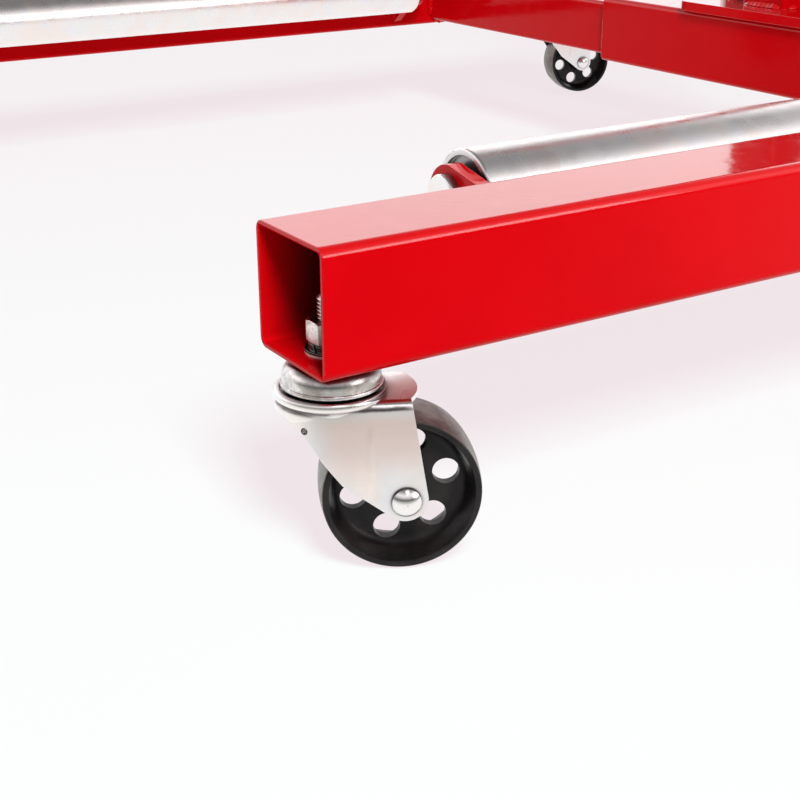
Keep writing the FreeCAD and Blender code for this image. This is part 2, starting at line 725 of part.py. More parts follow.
def ram_gland():
    """The gland nut: a spigot in the barrel's mouth and a flange with spanner flats."""
    y1 = BARREL_Y[1]
    spigot = cyl(BARREL_BORE_R, (RAM_X, y1 - 14, TUBE_MID), Y_AXIS, 14)
    flange = cyl(27.5, (RAM_X, y1, TUBE_MID), Y_AXIS, GLAND_LENGTH - 10)
    flange = flange.makeChamfer(1.5, [e for e in flange.Edges if e.Closed])
    nose = cyl(18.0, (RAM_X, y1, TUBE_MID), Y_AXIS, GLAND_LENGTH)
    flats = box(RAM_X - 24, RAM_X + 24, y1 - 20, y1 + 40, TUBE_MID - 40, TUBE_MID + 40)
    body = fuse([spigot, flange.common(flats), nose])
    return body.cut(cyl(ROD_R + 0.15, (RAM_X, y1 - 20, TUBE_MID), Y_AXIS, 60))


def ram_rod():
    """The plated rod with its piston at one end and the eye at the other."""
    pin_y = INNER_FACE - CLEVIS_REACH
    y0 = BARREL_Y[1] - 46
    rod = cyl(ROD_R, (RAM_X, y0, TUBE_MID), Y_AXIS, pin_y - y0)
    piston = cyl(BARREL_BORE_R - 0.2, (RAM_X, y0 - 10, TUBE_MID), Y_AXIS, 24)
    eye = cyl(EYE_R, (RAM_X, pin_y, TUBE_MID - EYE_HALF), Z_AXIS, 2 * EYE_HALF)
    body = fuse([rod, piston, eye])
    return body.cut(cyl(CLEVIS_PIN_R, (RAM_X, pin_y, TUBE_MID - 40), Z_AXIS, 80))


def clevis_pin(side):
    """A headed clevis pin and the split pin under it."""
    y = SIDES[side] * (INNER_FACE - CLEVIS_REACH)
    top = TUBE_MID + EYE_HALF + EYE_GAP + CLEVIS_T
    low = TUBE_MID - EYE_HALF - EYE_GAP - CLEVIS_T - 9
    head = cyl(12.0, (RAM_X, y, top), Z_AXIS, 4)
    head = head.makeFillet(1.2, [e for e in head.Edges if e.Closed and e.CenterOfMass.z > top + 1])
    shank = cyl(CLEVIS_PIN_R, (RAM_X, y, low), Z_AXIS, top - low)
    shank = shank.cut(cyl(1.7, (RAM_X - 10, y, low + 4.5), X_AXIS, 20))
    split = cyl(1.6, (RAM_X - 13, y, low + 4.5), X_AXIS, 25)
    eye = Part.makeTorus(3.2, 1.5, V(RAM_X + 12.5, y, low + 4.5), Z_AXIS)
    return [fuse([head, shank]), fuse([split, eye])]


# ---- deck, pump and pedal --------------------------------------------------------------
def pump_corners():
    """The four bolt positions on the pump's flange."""
    lx, ly = PUMP_SIZE[0] / 2 + 7, PUMP_SIZE[1] / 2 - 10
    return [(PUMP_X + i * lx, PUMP_Y + j * ly) for i in (-1, 1) for j in (-1, 1)]


def deck():
    """The plate welded across both sleeves, tapped for the pump's bolts."""
    plate = box(*DECK_X, *DECK_Y, TUBE_TOP, DECK_TOP)
    plate = plate.makeFillet(16, [e for e in plate.Edges if abs(e.Length - DECK_T) < 1e-6])
    for x, y in pump_corners():
        plate = plate.cut(cyl(BOLT_R, (x, y, TUBE_TOP - 1), Z_AXIS, DECK_T + 2))
    return plate


def pedal_ears():
    """The two upright ears that carry the pedal's pivot pin."""
    px, pz = PEDAL_PIVOT
    ears = []
    for y in (PUMP_Y - PEDAL_HALF - 0.5 - EAR_T, PUMP_Y + PEDAL_HALF + 0.5):
        ear = box(px - 12, px + 12, y, y + EAR_T, DECK_TOP + 20, pz)
        ear = ear.fuse(cyl(12, (px, y, pz), Y_AXIS, EAR_T))
        ears.append(ear.cut(cyl(PEDAL_PIN_R, (px, y, pz), Y_AXIS, EAR_T)))
    return ears


def pump_body():
    """The pump block with its bolted flange, plunger tower and pedal ears."""
    lx, ly, lz = PUMP_SIZE
    x0, x1 = PUMP_X - lx / 2, PUMP_X + lx / 2
    y0, y1 = PUMP_Y - ly / 2, PUMP_Y + ly / 2
    flange = box(x0 - 16, x1 + 16, y0, y1, DECK_TOP, DECK_TOP + FLANGE_T)
    flange = flange.makeFillet(8, [e for e in flange.Edges if abs(e.Length - FLANGE_T) < 1e-6])
    block = box(x0, x1, y0, y1, DECK_TOP, DECK_TOP + lz)
    block = block.makeFillet(5, [e for e in block.Edges if abs(e.Length - lz) < 1e-6])
    tower = cyl(13.5, (PLUNGER_X, PUMP_Y, DECK_TOP), Z_AXIS, lz + 18)
    body = fuse([flange, block, tower] + pedal_ears())
    for x, y in pump_corners():
        body = body.cut(cyl(BOLT_R + 0.5, (x, y, DECK_TOP - 1), Z_AXIS, FLANGE_T + 2))
    body = body.cut(cyl(PLUNGER_R + 0.25, (PLUNGER_X, PUMP_Y, DECK_TOP + 12), Z_AXIS, lz + 20))
    body = body.cut(cyl(VALVE_R, (x1 - 18, PUMP_Y - 12, VALVE_Z), X_AXIS, 20))
    return body.cut(cyl(4.0, (x1 - 18, PUMP_Y + 14, HOSE_Z), X_AXIS, 20))


def oil_tank():
    """The tank: a drawn can against the pump block, with a filler plug on top."""
    y0 = PUMP_Y + PUMP_SIZE[1] / 2
    x, z = PUMP_X - 6, DECK_TOP + TANK_R + 3
    can = cyl(TANK_R, (x, y0, z), Y_AXIS, TANK_LENGTH)
    can = can.makeFillet(6, [e for e in can.Edges if e.Closed and e.CenterOfMass.y > y0 + 1])
    can = can.cut(cyl(TANK_R - 2, (x, y0, z), Y_AXIS, TANK_LENGTH - 2))
    neck = cyl(9, (x, y0 + 70, z + TANK_R - 3), Z_AXIS, 6).cut(cyl(TANK_R - 2, (x, y0, z), Y_AXIS, 100))
    plug = hexagon(17, 8, (x, y0 + 70, z + TANK_R + 3))
    return [fuse([can, neck]), plug]


def pump_bolts():
    """Hex bolts through the pump's flange into the deck."""
    bolts = []
    for x, y in pump_corners():
        top = DECK_TOP + FLANGE_T
        shank = cyl(BOLT_R, (x, y, TUBE_TOP + 0.5), Z_AXIS, top - TUBE_TOP - 0.5)
        bolts.append(fuse([shank, hexagon(13, 5.3, (x, y, top))]))
    return bolts


def pedal_pin():
    """The pedal's pivot: a plain pin with a groove and ring at each end."""
    px, pz = PEDAL_PIVOT
    reach = PEDAL_HALF + 0.5 + EAR_T
    pin = cyl(PEDAL_PIN_R, (px, PUMP_Y - reach - 5, pz), Y_AXIS, 2 * reach + 10)
    ends = [e for e in pin.Edges if e.Closed]
    clips = [cyl(9.0, (px, y, pz), Y_AXIS, 1.5) for y in (PUMP_Y - reach - 2, PUMP_Y + reach + 0.5)]
    return fuse([pin.makeChamfer(1, ends)] + clips)


def foot_pedal():
    """The pedal lever: hub on the pivot, rounded nose over the plunger, and a tread plate."""
    px, pz = PEDAL_PIVOT
    y0 = PUMP_Y - PEDAL_HALF
    tip_x, tip_z = px + PEDAL_REACH, pz + 34
    arm = face([
        (px - 4, y0, pz + 4),
        (px, y0, pz - 4),
        (px + 60, y0, pz + 2),
        (tip_x, y0, tip_z - 14),
        (tip_x, y0, tip_z),
        (px + 50, y0, pz + 22),
        (px, y0, pz + 10),
    ]).extrude(V(0, 2 * PEDAL_HALF, 0))
    hub = cyl(11.0, (px, y0, pz), Y_AXIS, 2 * PEDAL_HALF)
    nose = cyl(NOSE_R, (PLUNGER_X, y0, pz), Y_AXIS, 2 * PEDAL_HALF)
    tread = box(tip_x - 24, tip_x + 26, PUMP_Y - 45, PUMP_Y + 45, tip_z - 2, tip_z + 4)
    tread = tread.makeFillet(8, [e for e in tread.Edges if abs(e.Length - 6) < 1e-6])
    lever = fuse([arm, hub, nose, tread])
    return lever.cut(cyl(PEDAL_PIN_R + 0.25, (px, y0 - 1, pz), Y_AXIS, 2 * PEDAL_HALF + 2))


def pedal_pad():
    """The ribbed rubber pad on the pedal's tread plate."""
    x, z = PEDAL_PIVOT[0] + PEDAL_REACH, PEDAL_PIVOT[1] + 38
    pad = box(x - 21, x + 23, PUMP_Y - 42, PUMP_Y + 42, z, z + 6)
    pad = pad.makeFillet(6, [e for e in pad.Edges if abs(e.Length - 6) < 1e-6])
    for k in range(7):
        pad = pad.cut(box(x - 18.5 + 6 * k, x - 15.5 + 6 * k, PUMP_Y - 36, PUMP_Y + 36, z + 3.5, z + 7))
    return pad


def pump_plunger():
    """The plunger that the pedal's nose pushes down."""
    low = DECK_TOP + 28
    top = PEDAL_PIVOT[1] - NOSE_R - 0.4
    rod = cyl(PLUNGER_R, (PLUNGER_X, PUMP_Y, low), Z_AXIS, top - low)
    cap = cyl(10.0, (PLUNGER_X, PUMP_Y, top - 5), Z_AXIS, 5)
    return fuse([rod, cap.makeFillet(1.2, [e for e in cap.Edges if e.Closed])])


def release_valve():
    """The release valve's spindle and its fluted hand knob."""
    x1 = PUMP_X + PUMP_SIZE[0] / 2
    y, z = PUMP_Y - 12, VALVE_Z
    spindle = cyl(VALVE_R - 0.25, (x1 - 16, y, z), X_AXIS, 32)
    knob = cyl(15, (x1 + 8, y, z), X_AXIS, 16)
    knob = knob.makeFillet(2, [e for e in knob.Edges if e.Closed])
    for k in range(8):
        a = math.radians(45 * k + 12)
        flute = cyl(3.5, (x1 + 7, y + 17 * math.cos(a), z + 17 * math.sin(a)), X_AXIS, 18)
        knob = knob.cut(flute)
    return fuse([spindle, knob])


def hose_ends():
    """The hose's start on the pump's rear face and its end above the ram's port."""
    start = (PUMP_X + PUMP_SIZE[0] / 2, PUMP_Y + 14, HOSE_Z)
    end = (RAM_X, BARREL_Y[1] - 24, TUBE_MID + BARREL_R + 9)
    return start, end


def hose_fittings():
    """The hexagon unions and ferrules at both ends of the hose."""
    start, end = hose_ends()
    union = [hexagon(17, 10, (0, 0, 0)), cyl(8.0, (0, 0, 10), Z_AXIS, 16)]
    union = fuse(union).cut(cyl(HOSE_R, (0, 0, 12), Z_AXIS, 15)).cut(cyl(3, (0, 0, -1), Z_AXIS, 30))
    return [shift(turn(union, Y_AXIS, 90), *start), shift(union, *end)]


def hydraulic_hose():
    """The hose from the pump over the rear sleeve and down to the ram's port."""
    start, end = hose_ends()
    out_x = start[0] + 52
    high = end[2] + 46
    points = [
        (start[0] + 12, start[1], start[2]),
        (out_x, start[1], start[2]),
        (out_x, end[1] - 70, start[2]),
        (end[0] + 36, end[1], high),
        (end[0], end[1], high),
        (end[0], end[1], end[2] + 12),
    ]
    return pipe(points, HOSE_R, 20)


# ---- mast, handle and retaining arm ----------------------------------------------------
def gusset(degrees):
    """A triangular plate at the mast's foot, turned about the mast's axis."""
    start, side = MAST_TUBE / 2, -GUSSET_T / 2
    plate = face([
        (start, side, DECK_TOP),
        (start + GUSSET_REACH, side, DECK_TOP),
        (start + GUSSET_REACH, side, DECK_TOP + 10),
        (start + 8, side, DECK_TOP + GUSSET_HEIGHT),
        (start, side, DECK_TOP + GUSSET_HEIGHT),
    ]).extrude(V(0, GUSSET_T, 0))
    return shift(turn(plate, Z_AXIS, degrees), MAST_X, MAST_Y)


def chain_eye():
    """The round eye welded to the mast's side for the safety chain."""
    return Part.makeTorus(EYE_RING_R, EYE_WIRE_R, V(MAST_X, CHAIN_Y, CHAIN_Z), X_AXIS)


def mast_tube():
    """The mast's outer tube with its foot gussets, clamp boss and chain eye."""
    tube = along_z(square_tube(MAST_TUBE, WALL, 4.0, MAST_TOP - DECK_TOP))
    tube = shift(tube, MAST_X, MAST_Y, DECK_TOP)
    boss_x = MAST_X + MAST_TUBE / 2
    boss = cyl(11, (boss_x, MAST_Y, CLAMP_Z), X_AXIS, 12)
    gussets = [gusset(degrees) for degrees in (-90, 0, 90)]
    body = fuse([tube, boss, chain_eye()] + gussets)
    body = body.cut(cyl(CLAMP_R, (MAST_X, MAST_Y, CLAMP_Z), X_AXIS, 60))
    for z in ACCESSORY_Z:
        body = body.cut(cyl(ACCESSORY_R, (MAST_X, MAST_Y, z), X_AXIS, 60))
    return body


def inner_mast():
    """The sliding inner mast with the retaining arm and its pad plate."""
    low, high = INNER_MAST_Z
    tube = along_z(square_tube(INNER_MAST, WALL, 3.0, high - low))
    tube = shift(tube, MAST_X, MAST_Y, low)
    front = MAST_X - INNER_MAST / 2
    back, half = front - ARM_REACH, ARM_HALF
    arm = box(back, front, MAST_Y - half, MAST_Y + half, ARM_Z - half, ARM_Z + half)
    y0, y1 = MAST_Y - PLATE_HALF, MAST_Y + PLATE_HALF
    plate = box(back - PLATE_T, back, y0, y1, ARM_Z - 26, ARM_Z + 26)
    plate = plate.makeFillet(10, [e for e in plate.Edges if abs(e.Length - PLATE_T) < 1e-6])
    lid = box(front + 0.5, front + INNER_MAST - 0.5, MAST_Y - 21, MAST_Y + 21, high, high + 3)
    return fuse([tube, arm, plate, lid])


def arm_pad():
    """The rubber face on the retaining arm's plate."""
    front = MAST_X - INNER_MAST / 2 - ARM_REACH - PLATE_T
    pad = box(front - 14, front, MAST_Y - 90, MAST_Y + 90, ARM_Z - 22, ARM_Z + 22)
    ends = [e for e in pad.Edges if min(v.Point.x for v in e.Vertexes) < front - 13]
    pad = pad.makeFillet(3, [e for e in ends if max(v.Point.x for v in e.Vertexes) < front - 13])
    for k in range(-4, 5):
        y = MAST_Y + 18 * k
        pad = pad.cut(box(front - 16, front - 11, y - 2, y + 2, ARM_Z - 30, ARM_Z + 30))
    return pad


def handle_points(inset):
    """The handle's bend corners, with its ends drawn in by an inset."""
    back = HANDLE_X + HANDLE_BACK - inset
    low, high = MAST_Y - HANDLE_HALF, MAST_Y + HANDLE_HALF
    return [
        (back, low, HANDLE_Z),
        (HANDLE_X, low, HANDLE_Z),
        (HANDLE_X, high, HANDLE_Z),
        (back, high, HANDLE_Z),
    ]


def push_handle():
    """The bent tube handle and the box that joins it to the mast."""
    tube = pipe(handle_points(0), HANDLE_R, HANDLE_BEND)
    tube = tube.cut(pipe(handle_points(-1), HANDLE_R - 2, HANDLE_BEND))
    start = MAST_X + MAST_TUBE / 2
    stub = box(start, HANDLE_X, MAST_Y - 16, MAST_Y + 16, HANDLE_Z - 16, HANDLE_Z + 16)
    inside = cyl(HANDLE_R - 1, (HANDLE_X, MAST_Y - 40, HANDLE_Z), Y_AXIS, 80)
    return fuse([tube, stub.cut(inside)])


def handle_grips():
    """Ribbed grips with closed ends, pushed over both handle ends."""
    grips = []
    end = HANDLE_X + HANDLE_BACK + 4
    for y in (MAST_Y - HANDLE_HALF, MAST_Y + HANDLE_HALF):
        grip = cyl(GRIP_R, (end - GRIP_LENGTH, y, HANDLE_Z), X_AXIS, GRIP_LENGTH)
        grip = grip.makeFillet(2.5, [e for e in grip.Edges if e.Closed])
        for k in range(GRIP_RIBS):
            x = end - GRIP_LENGTH + 12 + k * 10
            grip = grip.cut(ring(GRIP_R + 2, GRIP_R - 1.2, (x, y, HANDLE_Z), X_AXIS, 3))
        grips.append(grip.cut(cyl(HANDLE_R, (end - GRIP_LENGTH, y, HANDLE_Z), X_AXIS, GRIP_LENGTH - 4)))
    return grips


def clamp_screw():
    """The screw that locks the inner mast, with a sliding-bar style head."""
    start = MAST_X + INNER_MAST / 2 + 0.4
    out = MAST_X + MAST_TUBE / 2 + 34
    rod = cyl(CLAMP_R - 0.25, (start, MAST_Y, CLAMP_Z), X_AXIS, out - start)
    head = cyl(8, (out - 6, MAST_Y, CLAMP_Z), X_AXIS, 14)
    bar_ends = []
    for side in (-1, 1):
        bar_ends.append(Part.makeSphere(5, V(out + 1, MAST_Y + side * 27, CLAMP_Z)))
    cross = cyl(3.2, (out + 1, MAST_Y - 27, CLAMP_Z), Y_AXIS, 54)
    return fuse([rod, head, cross] + bar_ends)


def chain_link():
    """A chain link standing in the XZ plane, centred on the origin."""
    bend = LINK_HALF_WIDTH
    half = LINK_PITCH / 2 + LINK_WIRE_R + 0.15 - bend
    a, b = V(bend, 0, -half), V(bend, 0, half)
    c, d = V(-bend, 0, half), V(-bend, 0, -half)
    edges = [
        Part.makeLine(a, b),
        Part.Arc(b, V(0, 0, half + bend), c).toShape(),
        Part.makeLine(c, d),
        Part.Arc(d, V(0, 0, -half - bend), a).toShape(),
    ]
    circle = Part.Wire(Part.makeCircle(LINK_WIRE_R, a, Z_AXIS))
    return Part.Wire(edges).makePipeShell([circle], True, True)


def chain_top():
    """The point on the eye's wire that the chain hangs from."""
    return MAST_X, CHAIN_Y, CHAIN_Z - EYE_RING_R


def link_centre_z(k):
    """The height of a link's centre, counted from the eye."""
    top = chain_top()[2] + EYE_WIRE_R + LINK_WIRE_R + 0.3
    return top - LINK_PITCH / 2 - LINK_WIRE_R - 0.15 - k * LINK_PITCH


def safety_chain():
    """Loose links hanging straight down, each turned a quarter from the last."""
    x, y, _ = chain_top()
    link = chain_link()
    return [shift(turn(link, Z_AXIS, 90 * (k % 2)), x, y, link_centre_z(k)) for k in range(CHAIN_LINKS)]


def chain_hook():
    """The hook on the chain's last link: a closed eye and an open bend."""
    x, y, _ = chain_top()
    wire, eye = 3.4, 6.6
    bottom = link_centre_z(CHAIN_LINKS - 1) - LINK_PITCH / 2 - LINK_WIRE_R - 0.15
    z = bottom + LINK_WIRE_R + wire + 0.3 - eye
    ring_part = Part.makeTorus(eye, wire, V(x, y, z), Y_AXIS)
    path = [
        (x, y, z - eye),
        (x, y, z - eye - 36),
        (x + 22, y, z - eye - 36),
        (x + 24, y, z - eye - 18),
    ]
    return fuse([ring_part, pipe(path, wire, 9)])


def export(name, shape):
    """Writes one node, either a solid or a group of separate solids."""
    if isinstance(shape, (list, tuple)):
        solids = [s for part in shape for s in part.Solids]
        shape = solids[0] if len(solids) == 1 else Part.makeCompound(solids)
    else:
        solids = shape.Solids
        shape = solids[0] if len(solids) == 1 else Part.makeCompound(solids)
    for solid in solids:
        if not solid.isValid() or solid.Volume <= 0:
            raise SystemExit(f"{name} has a bad solid")
    shape.exportStep(f"parts/{name}.step")


os.makedirs("parts", exist_ok=True)
nodes = {}
for side in SIDES:
    nodes[f"{side}_leg"] = leg(side)
    nodes[f"{side}_roller_brackets"] = roller_brackets(side)
    nodes[f"{side}_roller"] = roller(side)
    nodes[f"{side}_roller_shaft"] = roller_shaft(side)
    nodes[f"{side}_caster_seats"] = on_stems([caster_seat()], side)
    nodes[f"{side}_caster_stems"] = on_stems([caster_stem()], side)
    nodes[f"{side}_stem_washers"] = on_stems([plain_washer(), lock_washer(), caster_retainer()], side)
    nodes[f"{side}_stem_nuts"] = on_stems([stem_nut()], side)
nodes["cross_sleeves"] = cross_sleeves()
nodes["inner_cross_tubes"] = inner_cross_tubes()
nodes["sleeve_pads"] = sleeve_pads()
nodes["inner_tube_pads"] = inner_tube_pads()
for name in CASTERS:
    nodes[f"{name}_yoke"] = place_caster(yoke(), name)
    nodes[f"{name}_balls"] = [place_caster(b, name) for b in race_balls()]
    nodes[f"{name}_axle"] = place_caster(axle(), name)
    nodes[f"{name}_wheel"] = place_caster(wheel(), name)
nodes["ram_barrel"] = ram_barrel()
nodes["ram_gland"] = ram_gland()
nodes["ram_rod"] = ram_rod()
nodes["ram_base_pin"] = clevis_pin("fixed")
nodes["ram_rod_pin"] = clevis_pin("sliding")
for make in (
    deck, pump_body, oil_tank, pump_bolts, pedal_pin, foot_pedal, pedal_pad, pump_plunger,
    release_valve, hose_fittings, hydraulic_hose, mast_tube, inner_mast, arm_pad, push_handle,
    handle_grips, clamp_screw, safety_chain, chain_hook,
):
    nodes[make.__name__] = make()
for name, shape in nodes.items():
    export(name, shape)
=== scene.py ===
import json
import math

import bmesh
import bpy
from mathutils import Matrix, Vector


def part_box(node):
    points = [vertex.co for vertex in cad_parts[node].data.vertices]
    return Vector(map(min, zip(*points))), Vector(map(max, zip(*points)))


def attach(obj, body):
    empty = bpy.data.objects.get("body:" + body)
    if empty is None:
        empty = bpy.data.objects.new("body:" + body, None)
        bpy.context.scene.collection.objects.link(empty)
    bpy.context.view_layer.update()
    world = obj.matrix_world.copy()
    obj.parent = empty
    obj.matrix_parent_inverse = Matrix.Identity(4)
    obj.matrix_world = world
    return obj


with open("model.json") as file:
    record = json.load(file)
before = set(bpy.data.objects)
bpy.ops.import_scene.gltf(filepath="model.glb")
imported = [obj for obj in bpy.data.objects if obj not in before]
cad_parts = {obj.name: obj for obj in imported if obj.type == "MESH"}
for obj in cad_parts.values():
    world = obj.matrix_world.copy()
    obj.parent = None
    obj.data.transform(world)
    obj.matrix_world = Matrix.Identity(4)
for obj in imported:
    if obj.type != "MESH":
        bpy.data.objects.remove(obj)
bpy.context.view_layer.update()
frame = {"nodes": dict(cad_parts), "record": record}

# Looks for the wheel dolly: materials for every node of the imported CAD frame, its weld beads,
# and a plain studio with the camera on the open front corner of the fixed leg.

NODES = frame["nodes"]
RECORD = frame["record"]
JOINTS = {joint["name"]: joint for joint in RECORD["behaviour"]["joints"]}
X, Y, Z = Vector((1, 0, 0)), Vector((0, 1, 0)), Vector((0, 0, 1))

# ---- studio settings -------------------------------------------------------------------
LENS_MM, SENSOR_MM = 64.0, 36.0
CAMERA_FROM_CORNER = Vector((-0.2727, -0.4919, 0.2255))   # from the leg's low front outer corner
CAMERA_HEADING, CAMERA_DIP, CAMERA_ROLL = 32.24, 22.46, -0.23   # degrees
KEY_HEADING, KEY_RISE = 193.0, 48.0      # where the key light stands, seen from the corner
FLOOR_GLOW = (0.840, 0.745, 0.782)       # the floor is a lit table
FLOOR_SKIN = (0.098, 0.174, 0.146)       # and its skin takes the shadows
FLOOR_NEAR = (1.16, 1.14, 1.15)          # how bright it mirrors in metal, under the caster
FLOOR_FAR = (0.54, 0.46, 0.43)           # nearer to the camera
FLOOR_EDGE = (0.12, 0.11, 0.11)          # and out toward the dark end of the studio
BACKDROP_WHITE = (0.975, 0.975, 0.978)
FLOOR_SIZE = 14.0
DOME = 0.26                              # the dome's light on plain surfaces
SKY = 2.2                                # and its strength in metal, over these (height, level) stops
BACKDROP = (
    (0.0, 0.61), (0.26, 0.68), (0.37, 1.0), (0.50, 0.73), (0.66, 0.25), (0.86, 0.11), (1.0, 0.11),
)
CAMERA_END = (
    (0.0, 0.045), (0.12, 0.055), (0.30, 0.34), (0.50, 0.59), (0.66, 0.36), (0.82, 0.11), (1.0, 0.11),
)

# ---- paint and metal colours (linear) --------------------------------------------------
RED = (0.52, 0.0010, 0.0034)
RED_DEEP = (0.46, 0.0008, 0.0028)
RED_BORE_SPRAY_AND_SHADE = (0.100, 0.0040, 0.0050)
RED_THIN_AND_HIGHLIGHT = (0.80, 0.30, 0.27)
ZINC = (0.740, 0.695, 0.690)
ZINC_WARM = (0.76, 0.665, 0.630)
ZINC_COOL = (0.70, 0.69, 0.73)
ZINC_SHADE = (0.13, 0.105, 0.11)
ZINC_WARM_REFLECTION = (0.745, 0.605, 0.580)
ZINC_DULL = (0.34, 0.29, 0.27)
WASHER_BRIGHT = (0.92, 0.86, 0.84)
IRON_BLACK = (0.0070, 0.0058, 0.0060)
IRON_BARE = (0.17, 0.135, 0.125)
LOCK_WASHER = 0.0038    # from under each nut to the bright part of the flat washer's edge
BORE_DARKENING_REACH = (0.007, 0.034)    # the red darkens between these depths in a leg's bore: thinner spray there, and painted shade
BORE_DARKENING_WANDER = 0.008
PRESS_LINE = -0.0189    # height of a fork's press line, below the tube, along which a painted shade line runs
PRESS_LINE_WANDER = 0.0016
FOLD_X = 0.0155         # the fork's fold behind the stem axis
BORE_SKIN = 0.0018      # from the tube's outside to a plane within its wall

# ---- weld beads ------------------------------------------------------------------------
BEAD_STEP = 0.0011      # between two stations
BEAD_PITCH = 0.0048     # between two ripples
BEAD_POINTS = 7         # across the bead's face
BUTT_BEAD, DECK_BEAD, BRACKET_BEAD = 0.0050, 0.0045, 0.0042     # leg lengths
FOOT_BEAD, ARM_BEAD, BOSS_BEAD = 0.0040, 0.0034, 0.0028
TUBE_CORNER, INNER_CORNER, MAST_CORNER = 0.006, 0.005, 0.005
BRACKET_T = 0.008
DECK_CORNER = 0.018     # a deck bead stops this far from the deck's rounded corner
DECK_INSET = 0.007      # and this far from a sleeve's own corner
MAST_HALF = 0.025
SLIDE_HALF = 0.0215     # of the inner mast
ARM_HALF, ARM_PLATE_T = 0.018, 0.005
GUSSET_HALF_T = 0.003
GUSSET_FOOT = (0.003, 0.040)    # a gusset's bead on the deck, measured out from the mast
GUSSET_FLANK = (0.006, 0.092)   # and its bead on the mast, measured up from the deck
BOSS_R = 0.011


# ---- node helpers ----------------------------------------------------------------------
class Look:
    """A node material or world being built; places come from the object's own coordinates."""

    def __init__(self, name, world=False):
        self.made = (bpy.data.worlds if world else bpy.data.materials).new(name)
        self.made.use_nodes = True
        self.tree = self.made.node_tree
        self.tree.nodes.clear()
        self.places = self.add("ShaderNodeTexCoord").outputs
        self.place = self.places["Generated" if world else "Object"]

    def add(self, kind, inputs=None, **settings):
        made = self.tree.nodes.new(kind)
        for key, value in settings.items():
            setattr(made, key, value)
        for key, value in (inputs or {}).items():
            socket = made.inputs[key]
            if isinstance(value, bpy.types.NodeSocket):
                self.tree.links.new(value, socket)
            elif isinstance(value, tuple) and len(value) == 3 and socket.type == "RGBA":
                socket.default_value = (*value, 1.0)
            else:
                socket.default_value = value
        return made

    def maths(self, operation, a, b=0.0, clamp=False):
        made = self.add("ShaderNodeMath", {0: a, 1: b}, operation=operation, use_clamp=clamp)
        return made.outputs[0]

    def vector(self, operation, a, b=(0.0, 0.0, 0.0)):
        return self.add("ShaderNodeVectorMath", {0: a, 1: b}, operation=operation)

    def noise(self, scale, detail=4.0, roughness=0.55, distortion=0.0, place=None):
        values = {"Vector": place or self.place, "Scale": scale, "Detail": detail}
        values.update({"Roughness": roughness, "Distortion": distortion})
        return self.add("ShaderNodeTexNoise", values).outputs["Fac"]

    def stretch(self, scale):
        """The place scaled per axis, for brushed or streaked noise."""
        return self.vector("MULTIPLY", self.place, scale).outputs[0]

    def ease(self, value, low, high, out_low=0.0, out_high=1.0):
        values = {"Value": value, 1: low, 2: high, 3: out_low, 4: out_high}
        return self.add("ShaderNodeMapRange", values, interpolation_type="SMOOTHSTEP").outputs[0]

    def blend(self, factor, a, b):
        made = self.add("ShaderNodeMix", data_type="RGBA")
        for index, value in ((0, factor), (6, a), (7, b)):
            socket = made.inputs[index]
            if isinstance(value, bpy.types.NodeSocket):
                self.tree.links.new(value, socket)
            else:
                socket.default_value = (*value, 1.0) if isinstance(value, tuple) else value
        return made.outputs[2]

    def edges(self, radius):
        """1 on edges sharper than the radius, 0 on flat faces."""
        rounded = self.add("ShaderNodeBevel", {"Radius": radius}, samples=6)
        flat = self.add("ShaderNodeNewGeometry").outputs["Normal"]
        same = self.vector("DOT_PRODUCT", rounded.outputs[0], flat).outputs["Value"]
        return self.ease(self.maths("SUBTRACT", 1.0, same), 0.02, 0.22), rounded.outputs[0]

    def crevice(self, reach):
        """0 in the open, 1 where other metal stands closer than the reach."""
        clear = self.add("ShaderNodeAmbientOcclusion", {"Distance": reach}, samples=8).outputs["AO"]
        return self.ease(clear, 0.55, 0.97, 1.0, 0.0)

    def bump(self, height, distance, strength=1.0, normal=None):
        values = {"Height": height, "Distance": distance, "Strength": strength}
        if normal is not None:
            values["Normal"] = normal
        return self.add("ShaderNodeBump", values).outputs[0]

    def split(self, vector):
        return self.add("ShaderNodeSeparateXYZ", {0: vector}).outputs

    def coat_factor(self, normal, power, low, high):
        """Coat reflection: low toward the floor, higher toward lamps, strong at grazing angles."""
        incoming = self.add("ShaderNodeNewGeometry").outputs["Incoming"]
        along = self.vector("DOT_PRODUCT", incoming, normal).outputs["Value"]
        grazing = self.maths("POWER", self.maths("SUBTRACT", 1.0, self.maths("ABSOLUTE", along)), power)
        sink = self.split(self.vector("REFLECT", incoming, normal).outputs[0])["Z"]
        grazing = self.maths("MULTIPLY", grazing, self.ease(sink, 0.0, 0.45, 1.0, 0.5))
        return self.maths("ADD", grazing, self.ease(sink, -0.15, 0.0, high, low), clamp=True)

    def choose(self, factor, one, two):
        """A mix of two shaders."""
        return self.add("ShaderNodeMixShader", {0: factor, 1: one, 2: two}).outputs[0]

    def done(self, surface, kind="ShaderNodeOutputMaterial"):
        self.add(kind, {"Surface": surface})
        return self.made


